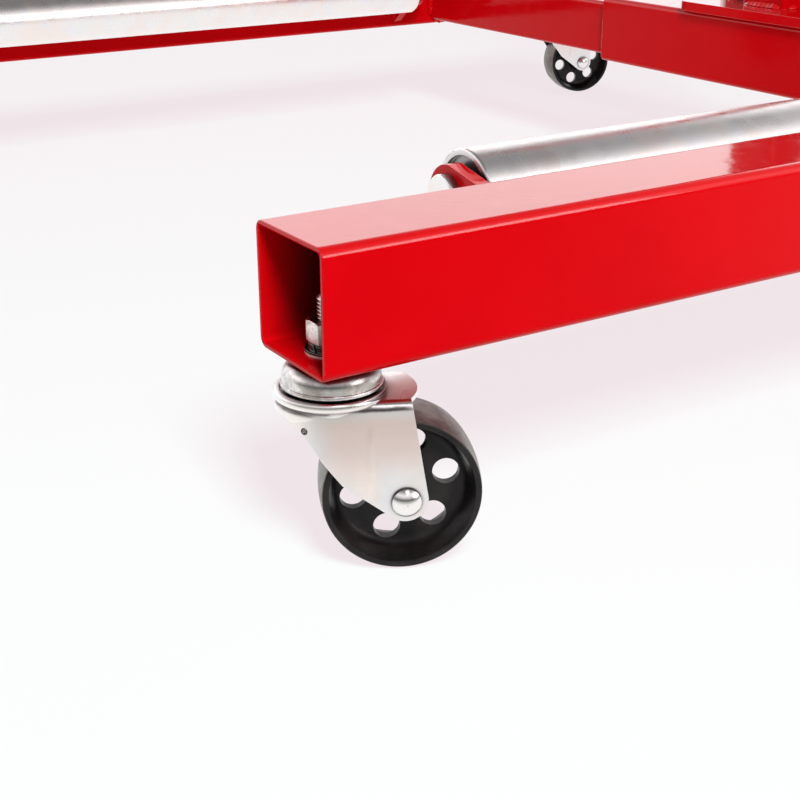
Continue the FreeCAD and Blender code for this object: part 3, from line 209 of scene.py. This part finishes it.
# ---- materials -------------------------------------------------------------------------
def bore_spray_and_shade(look, side):
    """Whether a place is in the leg's bore, and how dark its red is there, from 0 to 1: thinner spray and
    painted shade deeper in.
    """
    low, high = (Vector(corner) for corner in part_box(side + "_leg"))
    middle, half = (low + high) / 2, (high - low) / 2
    stem_y = JOINTS["front_" + side + "_swivel"]["pos_m"][1]
    bore = half[2] - BORE_SKIN
    place = look.split(look.place)
    across = look.maths("ABSOLUTE", look.maths("SUBTRACT", place["Y"], stem_y))
    rise = look.maths("SUBTRACT", place["Z"], middle[2])
    within = look.maths("LESS_THAN", look.maths("MAXIMUM", across, look.maths("ABSOLUTE", rise)), bore)
    from_middle = look.maths("ABSOLUTE", look.maths("SUBTRACT", place["X"], middle[0]))
    depth = look.maths("SUBTRACT", half[0], from_middle)
    ragged = look.maths("ADD", depth, look.maths("MULTIPLY", look.noise(90.0, 4.0), BORE_DARKENING_WANDER))
    fade = look.ease(ragged, *BORE_DARKENING_REACH)
    on_floor = look.ease(rise, -bore, -0.6 * bore, 0.3, 1.0)
    return within, look.maths("MULTIPLY", look.maths("MULTIPLY", within, fade), on_floor)


def glossy_paint(name, side=None):
    """Thick gloss enamel: orange peel, slight shade changes, and pale red on the sharp edges, as thin paint
    and a painted highlight.

    With a side it is the paint of that side's leg, darker deeper inside the bore: thinner spray there, and
    painted shade.
    """
    look = Look(name)
    tint = look.blend(look.ease(look.noise(7.0, 3.0), 0.35, 0.68), RED, RED_DEEP)
    edge, rounded = look.edges(0.0006)
    # pale red on the sharp edges: thinner paint there, and a painted highlight
    thin_edge_and_highlight = look.maths("MULTIPLY", edge, look.ease(look.noise(420.0, 5.0, 0.7), 0.3, 0.62, 0.35, 0.95))
    tint = look.blend(thin_edge_and_highlight, tint, RED_THIN_AND_HIGHLIGHT)
    if side:
        inside, bare = bore_spray_and_shade(look, side)
        # darker red deeper in the bore: thinner spray there, and painted shade
        tint = look.blend(bare, tint, RED_BORE_SPRAY_AND_SHADE)
    peel = look.noise(260.0, 2.0, 0.4)
    ripple = look.bump(peel, 0.00035, 0.10, rounded)
    dust = look.ease(look.noise(55.0, 6.0, 0.7), 0.45, 0.75)
    body = look.add("ShaderNodeBsdfPrincipled", {
        "Base Color": tint,
        "Roughness": 0.5,
        "Specular IOR Level": 0.0,
        "Normal": ripple,
    })
    gloss_rough = look.maths("ADD", look.maths("MULTIPLY", dust, 0.10), 0.09)
    gloss = look.add("ShaderNodeBsdfGlossy", {
        "Color": (1.0, 0.985, 0.985),
        "Roughness": gloss_rough,
        "Normal": ripple,
    })
    shine = look.coat_factor(rounded, 4.3, 0.0008, 0.034)
    if side:
        shine = look.maths("MULTIPLY", shine, look.ease(inside, 0.0, 1.0, 1.0, 0.06))
    return look.done(look.choose(shine, body.outputs[0], gloss.outputs[0]))


def satin_paint(name, colour):
    """Dark satin coating with faint rubs on its edges."""
    look = Look(name)
    cloud = look.ease(look.noise(30.0, 5.0), 0.3, 0.75)
    tint = look.blend(cloud, colour, tuple(c * 1.9 + 0.004 for c in colour))
    edge, rounded = look.edges(0.0009)
    rubbed = look.maths("MULTIPLY", edge, look.ease(look.noise(300.0, 5.0, 0.7), 0.48, 0.66))
    tint = look.blend(rubbed, tint, (0.30, 0.29, 0.28))
    grain = look.bump(look.noise(700.0, 3.0), 0.0002, 0.25, rounded)
    surface = look.add("ShaderNodeBsdfPrincipled", {
        "Base Color": tint,
        "Roughness": look.ease(look.noise(80.0, 5.0), 0.3, 0.7, 0.30, 0.46),
        "Metallic": look.maths("MULTIPLY", rubbed, 0.8),
        "Normal": grain,
    })
    return look.done(surface.outputs[0])


def fork_marks(look, swivel, trail):
    """A fork's faint upright fold, a painted warm reflection below the crown and a painted shade line along
    its press line.
    """
    away = look.vector("SUBTRACT", look.place, tuple(swivel)).outputs[0]
    along = look.vector("DOT_PRODUCT", away, tuple(trail)).outputs["Value"]
    off = look.maths("ABSOLUTE", look.maths("SUBTRACT", along, FOLD_X))
    drop = look.split(away)["Z"]
    ends = look.maths("MULTIPLY", look.ease(drop, -0.036, -0.026, 1.0, 0.0), look.ease(drop, -0.064, -0.054))
    ridge = look.maths("MULTIPLY", look.ease(off, 0.0, 0.0024, 1.0, 0.0), ends)
    # painted warm reflection: a warmer band on the plate below the crown
    warm_reflection = look.maths("MULTIPLY", look.ease(drop, -0.058, -0.034), look.ease(drop, -0.026, -0.021, 1.0, 0.0))
    warm_reflection = look.maths("MULTIPLY", warm_reflection, look.ease(along, -0.012, 0.003))
    # painted shade line along the fork's press line
    ragged = look.maths("ADD", drop, look.maths("MULTIPLY", look.noise(170.0, 3.0), PRESS_LINE_WANDER))
    height = look.ease(along, 0.0, 0.008, PRESS_LINE, PRESS_LINE + 0.001)
    beside = look.maths("ABSOLUTE", look.maths("SUBTRACT", ragged, height))
    shade_line = look.ease(beside, 0.0003, 0.0016, 1.0, 0.0)
    shade_line = look.maths("MULTIPLY", shade_line, look.ease(along, 0.030, 0.036, 1.0, 0.0))
    from_side = look.maths("ABSOLUTE", look.maths("SUBTRACT", along, 0.002))
    return ridge, warm_reflection, look.maths("MULTIPLY", shade_line, look.ease(from_side, 0.003, 0.006, 0.25, 0.9))


def zinc(name, rough=0.30, spread=0.12, streak=(60.0, 60.0, 260.0), fold=None, dull=0.0):
    """Bright zinc plating: warm and cool passivation clouds over soft rolling marks."""
    look = Look(name)
    warm = look.ease(look.noise(38.0, 4.0, 0.5, 0.6), 0.42, 0.66)
    cool = look.ease(look.noise(52.0, 3.0, 0.5, 0.4, look.stretch((1.0, 1.3, 0.8))), 0.45, 0.7)
    tint = look.blend(warm, ZINC, ZINC_WARM)
    tint = look.blend(look.maths("MULTIPLY", cool, 0.75), tint, ZINC_COOL)
    if dull:
        patches = look.ease(look.noise(140.0, 4.0, 0.6, 0.8), 0.34, 0.62)
        tint = look.blend(look.maths("MULTIPLY", patches, dull), tint, ZINC_DULL)
    if fold:
        ridge, warm_reflection, shade_line = fork_marks(look, *fold)
        # painted warm reflection on the fork's upper plate, and a painted shade line along its press line
        tint = look.blend(shade_line, look.blend(warm_reflection, tint, ZINC_WARM_REFLECTION), ZINC_SHADE)
    speck = look.ease(look.noise(900.0, 3.0, 0.7), 0.62, 0.76)
    tint = look.blend(look.maths("MULTIPLY", speck, 0.35), tint, (0.42, 0.40, 0.39))
    # painted shade: darker zinc in crevices, where other metal stands close
    tint = look.blend(look.maths("MULTIPLY", look.crevice(0.011), 0.85), tint, ZINC_SHADE)
    edge, rounded = look.edges(0.0006)
    # painted highlight: lighter zinc on the sharp edges
    tint = look.blend(look.maths("MULTIPLY", edge, 0.5), tint, (0.90, 0.89, 0.88))
    marks = look.noise(1.0, 5.0, 0.6, 0.0, look.stretch(streak))
    if fold:
        rounded = look.bump(ridge, 0.00018, 1.0, rounded)
    rolled = look.bump(marks, 0.00012, 0.22, rounded)
    surface = look.add("ShaderNodeBsdfPrincipled", {
        "Base Color": tint,
        "Metallic": 1.0,
        "Roughness": look.ease(look.noise(70.0, 5.0), 0.25, 0.75, rough - spread / 2, rough + spread / 2),
        "Normal": rolled,
    })
    return look.done(surface.outputs[0])


def dark_steel(name, colour, rough, plated_below=None):
    """Oiled hardened steel; below a height it is a plated washer instead."""
    look = Look(name)
    cloud = look.ease(look.noise(160.0, 5.0), 0.35, 0.7)
    tint = look.blend(cloud, colour, tuple(c * 0.55 for c in colour))
    metallic = 0.95
    if plated_below is not None:
        low = look.maths("LESS_THAN", look.split(look.place)["Z"], plated_below)
        tint = look.blend(low, tint, WASHER_BRIGHT)
        metallic = look.ease(low, 0.0, 1.0, 0.95, 0.35)
    edge, rounded = look.edges(0.0004)
    tint = look.blend(look.maths("MULTIPLY", edge, 0.6), tint, (0.75, 0.73, 0.71))
    surface = look.add("ShaderNodeBsdfPrincipled", {
        "Base Color": tint,
        "Metallic": metallic,
        "Roughness": look.ease(look.noise(240.0, 4.0), 0.3, 0.7, rough - 0.08, rough + 0.10),
        "Normal": look.bump(look.noise(1200.0, 3.0), 0.0001, 0.2, rounded),
    })
    return look.done(surface.outputs[0])


def chrome(name):
    """Hard-chromed rod with faint lengthwise wiping marks and an oil film."""
    look = Look(name)
    wiped = look.noise(1.0, 4.0, 0.6, 0.0, look.stretch((900.0, 9.0, 900.0)))
    film = look.ease(look.noise(24.0, 4.0), 0.35, 0.7)
    surface = look.add("ShaderNodeBsdfPrincipled", {
        "Base Color": look.blend(film, (0.80, 0.80, 0.81), (0.70, 0.68, 0.63)),
        "Metallic": 1.0,
        "Roughness": look.ease(wiped, 0.3, 0.7, 0.06, 0.15),
        "Normal": look.bump(wiped, 0.00004, 0.15),
    })
    return look.done(surface.outputs[0])


def cast_iron(name, centre, axis, tread_radius):
    """Blackened casting with a sandy skin, bare and rubbed on the tread that meets the floor."""
    look = Look(name)
    away = look.vector("SUBTRACT", look.place, tuple(centre)).outputs[0]
    along = look.vector("DOT_PRODUCT", away, tuple(axis)).outputs["Value"]
    on_axis = look.add("ShaderNodeVectorMath", {0: tuple(axis), "Scale": along}, operation="SCALE").outputs[0]
    radial = look.vector("SUBTRACT", away, on_axis).outputs[0]
    radius = look.vector("LENGTH", radial).outputs["Value"]
    tread = look.ease(radius, tread_radius - 0.0016, tread_radius - 0.0006)
    sand = look.noise(650.0, 5.0, 0.7)
    skin = look.blend(look.ease(look.noise(60.0, 5.0), 0.35, 0.7), IRON_BLACK, (0.017, 0.014, 0.014))
    edge, rounded = look.edges(0.0008)
    # painted highlight: lighter lips on the casting's sharp edges
    lip_highlight = look.maths("MULTIPLY", edge, look.ease(look.noise(180.0, 4.0), 0.25, 0.6, 0.25, 0.8))
    skin = look.blend(lip_highlight, skin, (0.085, 0.075, 0.072))
    rubbed = look.ease(look.noise(120.0, 6.0, 0.7, 0.5), 0.3, 0.66)
    bare = look.blend(rubbed, IRON_BARE, (0.075, 0.058, 0.054))
    surface = look.add("ShaderNodeBsdfPrincipled", {
        "Base Color": look.blend(tread, skin, bare),
        "Metallic": look.maths("MULTIPLY", tread, 0.75),
        "Roughness": look.ease(look.noise(90.0, 5.0), 0.3, 0.7, 0.30, 0.44),
        "Specular IOR Level": 0.18,
        "Normal": look.bump(sand, 0.00035, 0.35, rounded),
    })
    return look.done(surface.outputs[0])


def rubber(name, colour=(0.018, 0.018, 0.019), rough=0.72):
    """Moulded rubber with a dry bloom and fine pitting."""
    look = Look(name)
    bloom = look.ease(look.noise(70.0, 6.0, 0.7), 0.45, 0.75)
    edge, rounded = look.edges(0.0008)
    tint = look.blend(bloom, colour, tuple(c * 2.2 + 0.008 for c in colour))
    tint = look.blend(look.maths("MULTIPLY", edge, 0.5), tint, (0.075, 0.073, 0.07))
    surface = look.add("ShaderNodeBsdfPrincipled", {
        "Base Color": tint,
        "Roughness": look.ease(bloom, 0.0, 1.0, rough - 0.14, rough + 0.1),
        "Specular IOR Level": 0.35,
        "Normal": look.bump(look.noise(1500.0, 3.0, 0.7), 0.0002, 0.35, rounded),
    })
    return look.done(surface.outputs[0])


def braided_hose(name):
    """Hose cover with a diagonal wrap pattern."""
    look = Look(name)
    strands = []
    for place in (look.place, look.stretch((1.0, -1.0, 1.0))):
        values = {"Vector": place, "Scale": 90.0, "Distortion": 0.6}
        strands.append(look.add("ShaderNodeTexWave", values, bands_direction="DIAGONAL"))
    weave = look.maths("MAXIMUM", strands[0].outputs["Fac"], strands[1].outputs["Fac"])
    surface = look.add("ShaderNodeBsdfPrincipled", {
        "Base Color": look.blend(weave, (0.010, 0.010, 0.011), (0.030, 0.030, 0.032)),
        "Roughness": look.ease(look.noise(150.0, 5.0), 0.3, 0.7, 0.45, 0.65),
        "Normal": look.bump(weave, 0.0004, 0.5),
    })
    return look.done(surface.outputs[0])


def nylon(name):
    """Natural guide nylon, slightly translucent and smeared with grease."""
    look = Look(name)
    smear = look.ease(look.noise(110.0, 6.0, 0.7, 0.6), 0.5, 0.72)
    surface = look.add("ShaderNodeBsdfPrincipled", {
        "Base Color": look.blend(smear, (0.80, 0.77, 0.70), (0.36, 0.31, 0.25)),
        "Roughness": look.ease(smear, 0.0, 1.0, 0.5, 0.28),
        "Subsurface Weight": 0.15,
        "Subsurface Scale": 0.004,
        "Normal": look.bump(look.noise(900.0, 3.0), 0.0002, 0.2),
    })
    return look.done(surface.outputs[0])


def studio_floor(name, corner):
    """A softly lit white table; in reflections it falls off toward the camera."""
    look = Look(name)
    mottle = look.ease(look.noise(1.4, 4.0), 0.3, 0.7, 0.996, 1.0)
    toward = heading(CAMERA_HEADING + 180.0, 0.0)
    offset = look.vector("SUBTRACT", look.place, tuple(corner)).outputs[0]
    toward_camera = look.vector("DOT_PRODUCT", offset, tuple(toward)).outputs["Value"]
    path = look.add("ShaderNodeLightPath").outputs
    mirrored = look.blend(look.ease(toward_camera, 0.04, 0.23), FLOOR_NEAR, FLOOR_FAR)
    mirrored = look.blend(look.ease(toward_camera, 0.35, 1.0), mirrored, FLOOR_EDGE)
    away = look.vector("DISTANCE", look.place, tuple(corner)).outputs["Value"]
    glowing = look.blend(look.ease(away, 1.5, 3.6), FLOOR_GLOW, BACKDROP_WHITE)
    bounced = look.blend(path["Is Diffuse Ray"], glowing, tuple(1.2 * c for c in FLOOR_GLOW))
    seen = look.blend(path["Is Glossy Ray"], bounced, mirrored)
    glow = look.add("ShaderNodeEmission", {"Color": seen, "Strength": mottle})
    skin = look.add("ShaderNodeBsdfDiffuse", {"Color": FLOOR_SKIN, "Roughness": 0.5})
    return look.done(look.add("ShaderNodeAddShader", {0: glow.outputs[0], 1: skin.outputs[0]}).outputs[0])


# ---- dressing the CAD nodes ------------------------------------------------------------
def dress(material, *names):
    """Gives CAD nodes their material."""
    for name in names:
        mesh = NODES[name].data
        mesh.materials.clear()
        mesh.materials.append(material)


def dress_frame():
    """A look for every node, from its slot in the record, with a few finer choices; returns the red."""
    red = glossy_paint("gloss_red_enamel")
    by_slot = {
        "red_paint": red,
        "black_paint": satin_paint("satin_black_coating", (0.016, 0.016, 0.018)),
        "zinc_plate": zinc("zinc_plating"),
        "washer_steel": dark_steel("oiled_washer_steel", (0.32, 0.29, 0.27), 0.36),
        "ball_steel": dark_steel("greased_ball_steel", (0.10, 0.09, 0.085), 0.25),
        "rod_chrome": chrome("hard_chrome"),
        "nylon": nylon("guide_nylon"),
        "black_rubber": rubber("moulded_rubber"),
        "knob_plastic": rubber("knob_plastic", (0.022, 0.022, 0.023), 0.5),
    }
    casters = []
    for part in RECORD["subparts"]:
        name, slot = part["node"], part["material_slot"]
        if slot == "wheel_iron":
            casters.append(name[: -len("_wheel")])
        else:
            dress(by_slot[slot], name)
    for caster in casters:
        low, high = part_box(caster + "_wheel")
        spin = JOINTS[caster + "_spin"]
        iron = cast_iron("cast_iron_" + caster, spin["pos_m"], spin["axis"], (high[2] - low[2]) / 2)
        dress(iron, caster + "_wheel")
        stem, hub = Vector(JOINTS[caster + "_swivel"]["pos_m"]), Vector(spin["pos_m"])
        trail = (hub - stem) * Vector((1, 1, 0))
        fold = (stem, trail.normalized())
        dress(zinc("pressed_zinc_" + caster, 0.30, 0.12, (40.0, 40.0, 140.0), fold), caster + "_yoke")
        dress(zinc("rivet_zinc_" + caster, 0.20, 0.08), caster + "_axle")
    for side in ("fixed", "sliding"):
        dress(glossy_paint("gloss_red_" + side + "_leg", side), side + "_leg")
    dress(braided_hose("hose_cover"), "hydraulic_hose")
    dress(zinc("nut_zinc", 0.30, 0.10, dull=0.75), "fixed_stem_nuts", "sliding_stem_nuts")
    dress(zinc("seat_zinc", 0.26, 0.12, dull=0.70), "fixed_caster_seats", "sliding_caster_seats")
    for side in ("fixed", "sliding"):
        washer_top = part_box(side + "_stem_nuts")[0][2] - LOCK_WASHER
        dress(dark_steel(side + "_washers", (0.075, 0.062, 0.060), 0.30, washer_top), side + "_stem_washers")
    return red


# ---- weld beads ------------------------------------------------------------------------
def mesh_object(name, shape, material, body):
    """Turns a bmesh into an object that rides on a CAD body."""
    data = bpy.data.meshes.new(name)
    shape.to_mesh(data)
    shape.free()
    for polygon in data.polygons:
        polygon.use_smooth = True
    made = bpy.data.objects.new(name, data)
    bpy.context.scene.collection.objects.link(made)
    data.materials.append(material)
    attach(made, body)
    return made


def line_path(start, end, out_a, out_b):
    """Stations along a straight corner between two faces."""
    start, end = Vector(start), Vector(end)
    count = max(int((end - start).length / BEAD_STEP), 4)
    return [(start.lerp(end, i / count), out_a, out_b) for i in range(count + 1)]


def ring_path(centre, axis, radius):
    """Stations round a boss that stands on a flat face."""
    centre, axis = Vector(centre), Vector(axis)
    side = axis.orthogonal().normalized()
    count = int(math.tau * radius / BEAD_STEP)
    stations = []
    for i in range(count + 1):
        out = Matrix.Rotation(math.tau * i / count, 3, axis) @ side
        stations.append((centre + out * radius, out, axis))
    return stations


def weld_beads(name, paths, size, material, body):
    """Fillet welds with overlapping ripples, as one mesh for a group of corners."""
    shape = bmesh.new()
    for number, stations in enumerate(paths):
        rings = []
        for i, (base, out_a, out_b) in enumerate(stations):
            ends = min(i, len(stations) - 1 - i) * BEAD_STEP
            swell = min(1.0, 0.45 + ends / (2.0 * size))
            wander = 1.0 + 0.07 * math.sin(i * 0.37 + number * 1.9) + 0.04 * math.sin(i * 0.151 + number)
            ring = [shape.verts.new(base - (out_a + out_b) * size * 0.12)]
            for j in range(BEAD_POINTS):
                angle = math.pi / 2 * j / (BEAD_POINTS - 1)
                lag = 0.30 * math.sin(2.0 * angle)
                ripple = abs(math.sin(math.pi * (i * BEAD_STEP / BEAD_PITCH + lag)))
                reach = size * swell * wander * (0.86 + 0.14 * ripple - 0.10 * math.sin(2.0 * angle))
                outward = out_a * math.cos(angle) + out_b * math.sin(angle)
                ring.append(shape.verts.new(base + outward * reach))
            rings.append(ring)
        for one, two in zip(rings, rings[1:]):
            for j in range(len(one)):
                k = (j + 1) % len(one)
                shape.faces.new((one[j], one[k], two[k], two[j]))
        shape.faces.new(reversed(rings[0]))
        shape.faces.new(rings[-1])
    bmesh.ops.recalc_face_normals(shape, faces=shape.faces)
    return mesh_object(name, shape, material, body)


def butt_corners(low, high, face_y, out_y, corner):
    """Paths round the end of a square tube that meets a leg's inner face."""
    x0, z0, x1, z1 = low[0], low[2], high[0], high[2]
    return [
        line_path((x0 + corner, face_y, z1), (x1 - corner, face_y, z1), Z, out_y),
        line_path((x0, face_y, z0 + corner), (x0, face_y, z1 - corner), -X, out_y),
        line_path((x1, face_y, z0 + corner), (x1, face_y, z1 - corner), X, out_y),
        line_path((x0 + corner, face_y, z0), (x1 - corner, face_y, z0), -Z, out_y),
    ]


def twin_boxes(name, width):
    """The two equal boxes of a node that holds two tubes side by side along X."""
    low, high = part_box(name)
    first = (Vector(low), Vector((low[0] + width, high[1], high[2])))
    second = (Vector((high[0] - width, low[1], low[2])), Vector(high))
    return first, second


def frame_welds(red):
    """All weld beads on the painted frame."""
    sleeve_low, sleeve_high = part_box("cross_sleeves")
    tube = sleeve_high[2] - sleeve_low[2]
    paths = []
    for low, high in twin_boxes("cross_sleeves", tube):
        paths += butt_corners(low, high, low[1], Y, TUBE_CORNER)
    weld_beads("weld_sleeves_to_leg", paths, BUTT_BEAD, red, "frame")

    inner_low, inner_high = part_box("inner_cross_tubes")
    inner = inner_high[2] - inner_low[2]
    paths = []
    for low, high in twin_boxes("inner_cross_tubes", inner):
        paths += butt_corners(low, high, high[1], -Y, INNER_CORNER)
    weld_beads("weld_inner_tubes_to_leg", paths, BUTT_BEAD, red, "sliding_side")

    for side, out, body in (("fixed", Y, "frame"), ("sliding", -Y, "sliding_side")):
        low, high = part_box(side + "_roller_brackets")
        face_y = low[1] if side == "fixed" else high[1]
        bottom, top = low[2] + 0.002, high[2] - 0.004
        paths = []
        for x in (low[0], high[0] - BRACKET_T):
            paths.append(line_path((x, face_y, bottom), (x, face_y, top), -X, out))
            paths.append(line_path((x + BRACKET_T, face_y, bottom), (x + BRACKET_T, face_y, top), X, out))
        weld_beads(side + "_bracket_welds", paths, BRACKET_BEAD, red, body)

    deck_low, deck_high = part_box("deck")
    paths = []
    for low, high in twin_boxes("cross_sleeves", tube):
        for y, out in ((deck_low[1], -Y), (deck_high[1], Y)):
            at_corner = low[0] < deck_low[0] + 0.02 or high[0] > deck_high[0] - 0.02
            inset = DECK_CORNER if at_corner else DECK_INSET
            start, end = (low[0] + inset, y, low[2] + tube), (high[0] - inset, y, low[2] + tube)
            paths.append(line_path(start, end, out, Z))
    weld_beads("weld_deck_to_sleeves", paths, DECK_BEAD, red, "frame")
    mast_welds(red, deck_high[2])


def gusset_paths(root, turn, deck_top):
    """Paths beside one gusset and along the mast's foot on both sides of it."""
    spinner = Matrix.Rotation(math.radians(turn), 3, "Z")
    out, side = spinner @ X, spinner @ Y
    foot = Z * deck_top
    paths = []
    for sign in (-1, 1):
        sideways = side * sign
        edge = root + out * MAST_HALF + foot
        flank = edge + sideways * GUSSET_HALF_T
        paths.append(line_path(*(flank + out * reach for reach in GUSSET_FOOT), sideways, Z))
        paths.append(line_path(*(flank + Z * rise for rise in GUSSET_FLANK), sideways, out))
        near, far = GUSSET_HALF_T + 0.004, MAST_HALF - MAST_CORNER
        paths.append(line_path(edge + sideways * near, edge + sideways * far, out, Z))
    return paths


def arm_paths(face_x, out, mast_y, middle_z):
    """Paths round the retaining arm where it meets a face across X."""
    half, end = ARM_HALF, ARM_HALF - 0.001
    paths = []
    for sign in (1, -1):
        z = middle_z + sign * half
        paths.append(line_path((face_x, mast_y - end, z), (face_x, mast_y + end, z), sign * Z, out))
    for sign in (-1, 1):
        y = mast_y + sign * half
        paths.append(line_path((face_x, y, middle_z - end), (face_x, y, middle_z + end), sign * Y, out))
    return paths


def mast_welds(red, deck_top):
    """Welds at the mast's foot and its gussets, the clamp's boss and the retaining arm."""
    clamp = JOINTS["clamp_turn"]["pos_m"]
    mast_x, mast_y = JOINTS["chain_swing"]["pos_m"][0], clamp[1]
    back, run = mast_x - MAST_HALF, MAST_HALF - MAST_CORNER
    foot = [line_path((back, mast_y - run, deck_top), (back, mast_y + run, deck_top), -X, Z)]
    for turn in (-90, 0, 90):
        foot += gusset_paths(Vector((mast_x, mast_y, 0.0)), turn, deck_top)
    weld_beads("weld_mast_foot", foot, FOOT_BEAD, red, "frame")
    boss = (mast_x + MAST_HALF, mast_y, clamp[2])
    weld_beads("weld_clamp_boss", [ring_path(boss, X, BOSS_R)], BOSS_BEAD, red, "frame")

    pad_low, pad_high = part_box("arm_pad")
    middle = (pad_low[2] + pad_high[2]) / 2
    plate_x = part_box("inner_mast")[0][0] + ARM_PLATE_T
    paths = arm_paths(mast_x - SLIDE_HALF, -X, mast_y, middle) + arm_paths(plate_x, X, mast_y, middle)
    weld_beads("weld_retaining_arm", paths, ARM_BEAD, red, "mast_slide_body")


# ---- studio ----------------------------------------------------------------------------
def area_light(name, target, direction, distance, size, watts):
    """A soft rectangular light that looks at a target from a direction."""
    data = bpy.data.lights.new(name, "AREA")
    data.shape = "RECTANGLE"
    data.size, data.size_y = size
    data.energy = watts
    made = bpy.data.objects.new(name, data)
    bpy.context.scene.collection.objects.link(made)
    made.location = target + direction.normalized() * distance
    made.rotation_euler = (-direction).to_track_quat("-Z", "Y").to_euler()
    made.visible_camera = False
    return made


def heading(degrees, elevation):
    """A direction from a compass heading, 0 toward +Y and 90 toward +X, and an elevation."""
    a, e = math.radians(degrees), math.radians(elevation)
    return Vector((math.sin(a) * math.cos(e), math.cos(a) * math.cos(e), math.sin(e)))


def sky_ramp(look, height, stops):
    """Grey levels against the height of a direction, as (height, level) stops."""
    ramp = look.add("ShaderNodeValToRGB", {0: height})
    levels = ramp.color_ramp.elements
    for stop, (position, level) in zip((levels[0], levels[1]), (stops[0], stops[-1])):
        stop.position, stop.color = position, (level, level, level, 1.0)
    for position, level in stops[1:-1]:
        levels.new(position).color = (level, level, level, 1.0)
    return ramp.outputs[0]


def world_dome():
    """A white dome for light and background; metal sees a lit backdrop and a dark camera end."""
    look = Look("studio_dome", world=True)
    height = look.split(look.place)["Z"]
    behind = look.vector("DOT_PRODUCT", look.place, tuple(heading(CAMERA_HEADING, 10.0))).outputs["Value"]
    ends = [sky_ramp(look, height, stops) for stops in (CAMERA_END, BACKDROP)]
    sky = look.blend(look.ease(behind, -0.55, 0.55), *ends)
    graded = look.add("ShaderNodeBackground", {"Color": sky, "Strength": SKY}).outputs[0]
    plain = look.add("ShaderNodeBackground", {"Color": (1.0, 1.0, 1.0), "Strength": DOME}).outputs[0]
    seen = look.add("ShaderNodeBackground", {"Color": BACKDROP_WHITE}).outputs[0]
    path = look.add("ShaderNodeLightPath").outputs
    lit = look.choose(path["Is Glossy Ray"], plain, graded)
    surface = look.choose(path["Is Camera Ray"], lit, seen)
    bpy.context.scene.world = look.done(surface, "ShaderNodeOutputWorld")


def floor_plane(corner):
    """The pale floor under the wheels."""
    shape = bmesh.new()
    bmesh.ops.create_grid(shape, x_segments=1, y_segments=1, size=FLOOR_SIZE)
    data = bpy.data.meshes.new("studio_floor")
    shape.to_mesh(data)
    shape.free()
    made = bpy.data.objects.new("studio_floor", data)
    bpy.context.scene.collection.objects.link(made)
    data.materials.append(studio_floor("floor_white", corner))


def camera(corner):
    """The camera at the leg's open corner, from the low front left."""
    data = bpy.data.cameras.new("camera")
    data.lens = LENS_MM
    data.sensor_width = SENSOR_MM
    data.clip_start = 0.01
    made = bpy.data.objects.new("camera", data)
    bpy.context.scene.collection.objects.link(made)
    forward = heading(CAMERA_HEADING, -CAMERA_DIP)
    aim = forward.to_track_quat("-Z", "Y").to_matrix().to_4x4()
    roll = Matrix.Rotation(math.radians(CAMERA_ROLL), 4, "Z")
    made.matrix_world = Matrix.Translation(corner + CAMERA_FROM_CORNER) @ aim @ roll
    bpy.context.scene.camera = made


def studio():
    """Floor, dome, key light, reflection cards and camera."""
    corner = Vector(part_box("fixed_leg")[0])
    scene = bpy.context.scene
    scene.view_settings.view_transform = "Standard"
    scene.view_settings.look = "None"
    floor_plane(corner)
    world_dome()
    camera(corner)
    key = heading(KEY_HEADING, KEY_RISE)
    area_light("key", corner, key, 2.4, (0.62, 0.90), 82.0).visible_glossy = False
    for name, way, size, watts in (
        ("key_card", key, (0.7, 0.9), 5.0),
        ("right_card", heading(CAMERA_HEADING + 114.0, 19.0), (1.1, 0.8), 16.0),
    ):
        card = area_light(name, corner, way, 2.5, size, watts)
        card.visible_diffuse = False


red_enamel = dress_frame()
frame_welds(red_enamel)
studio()
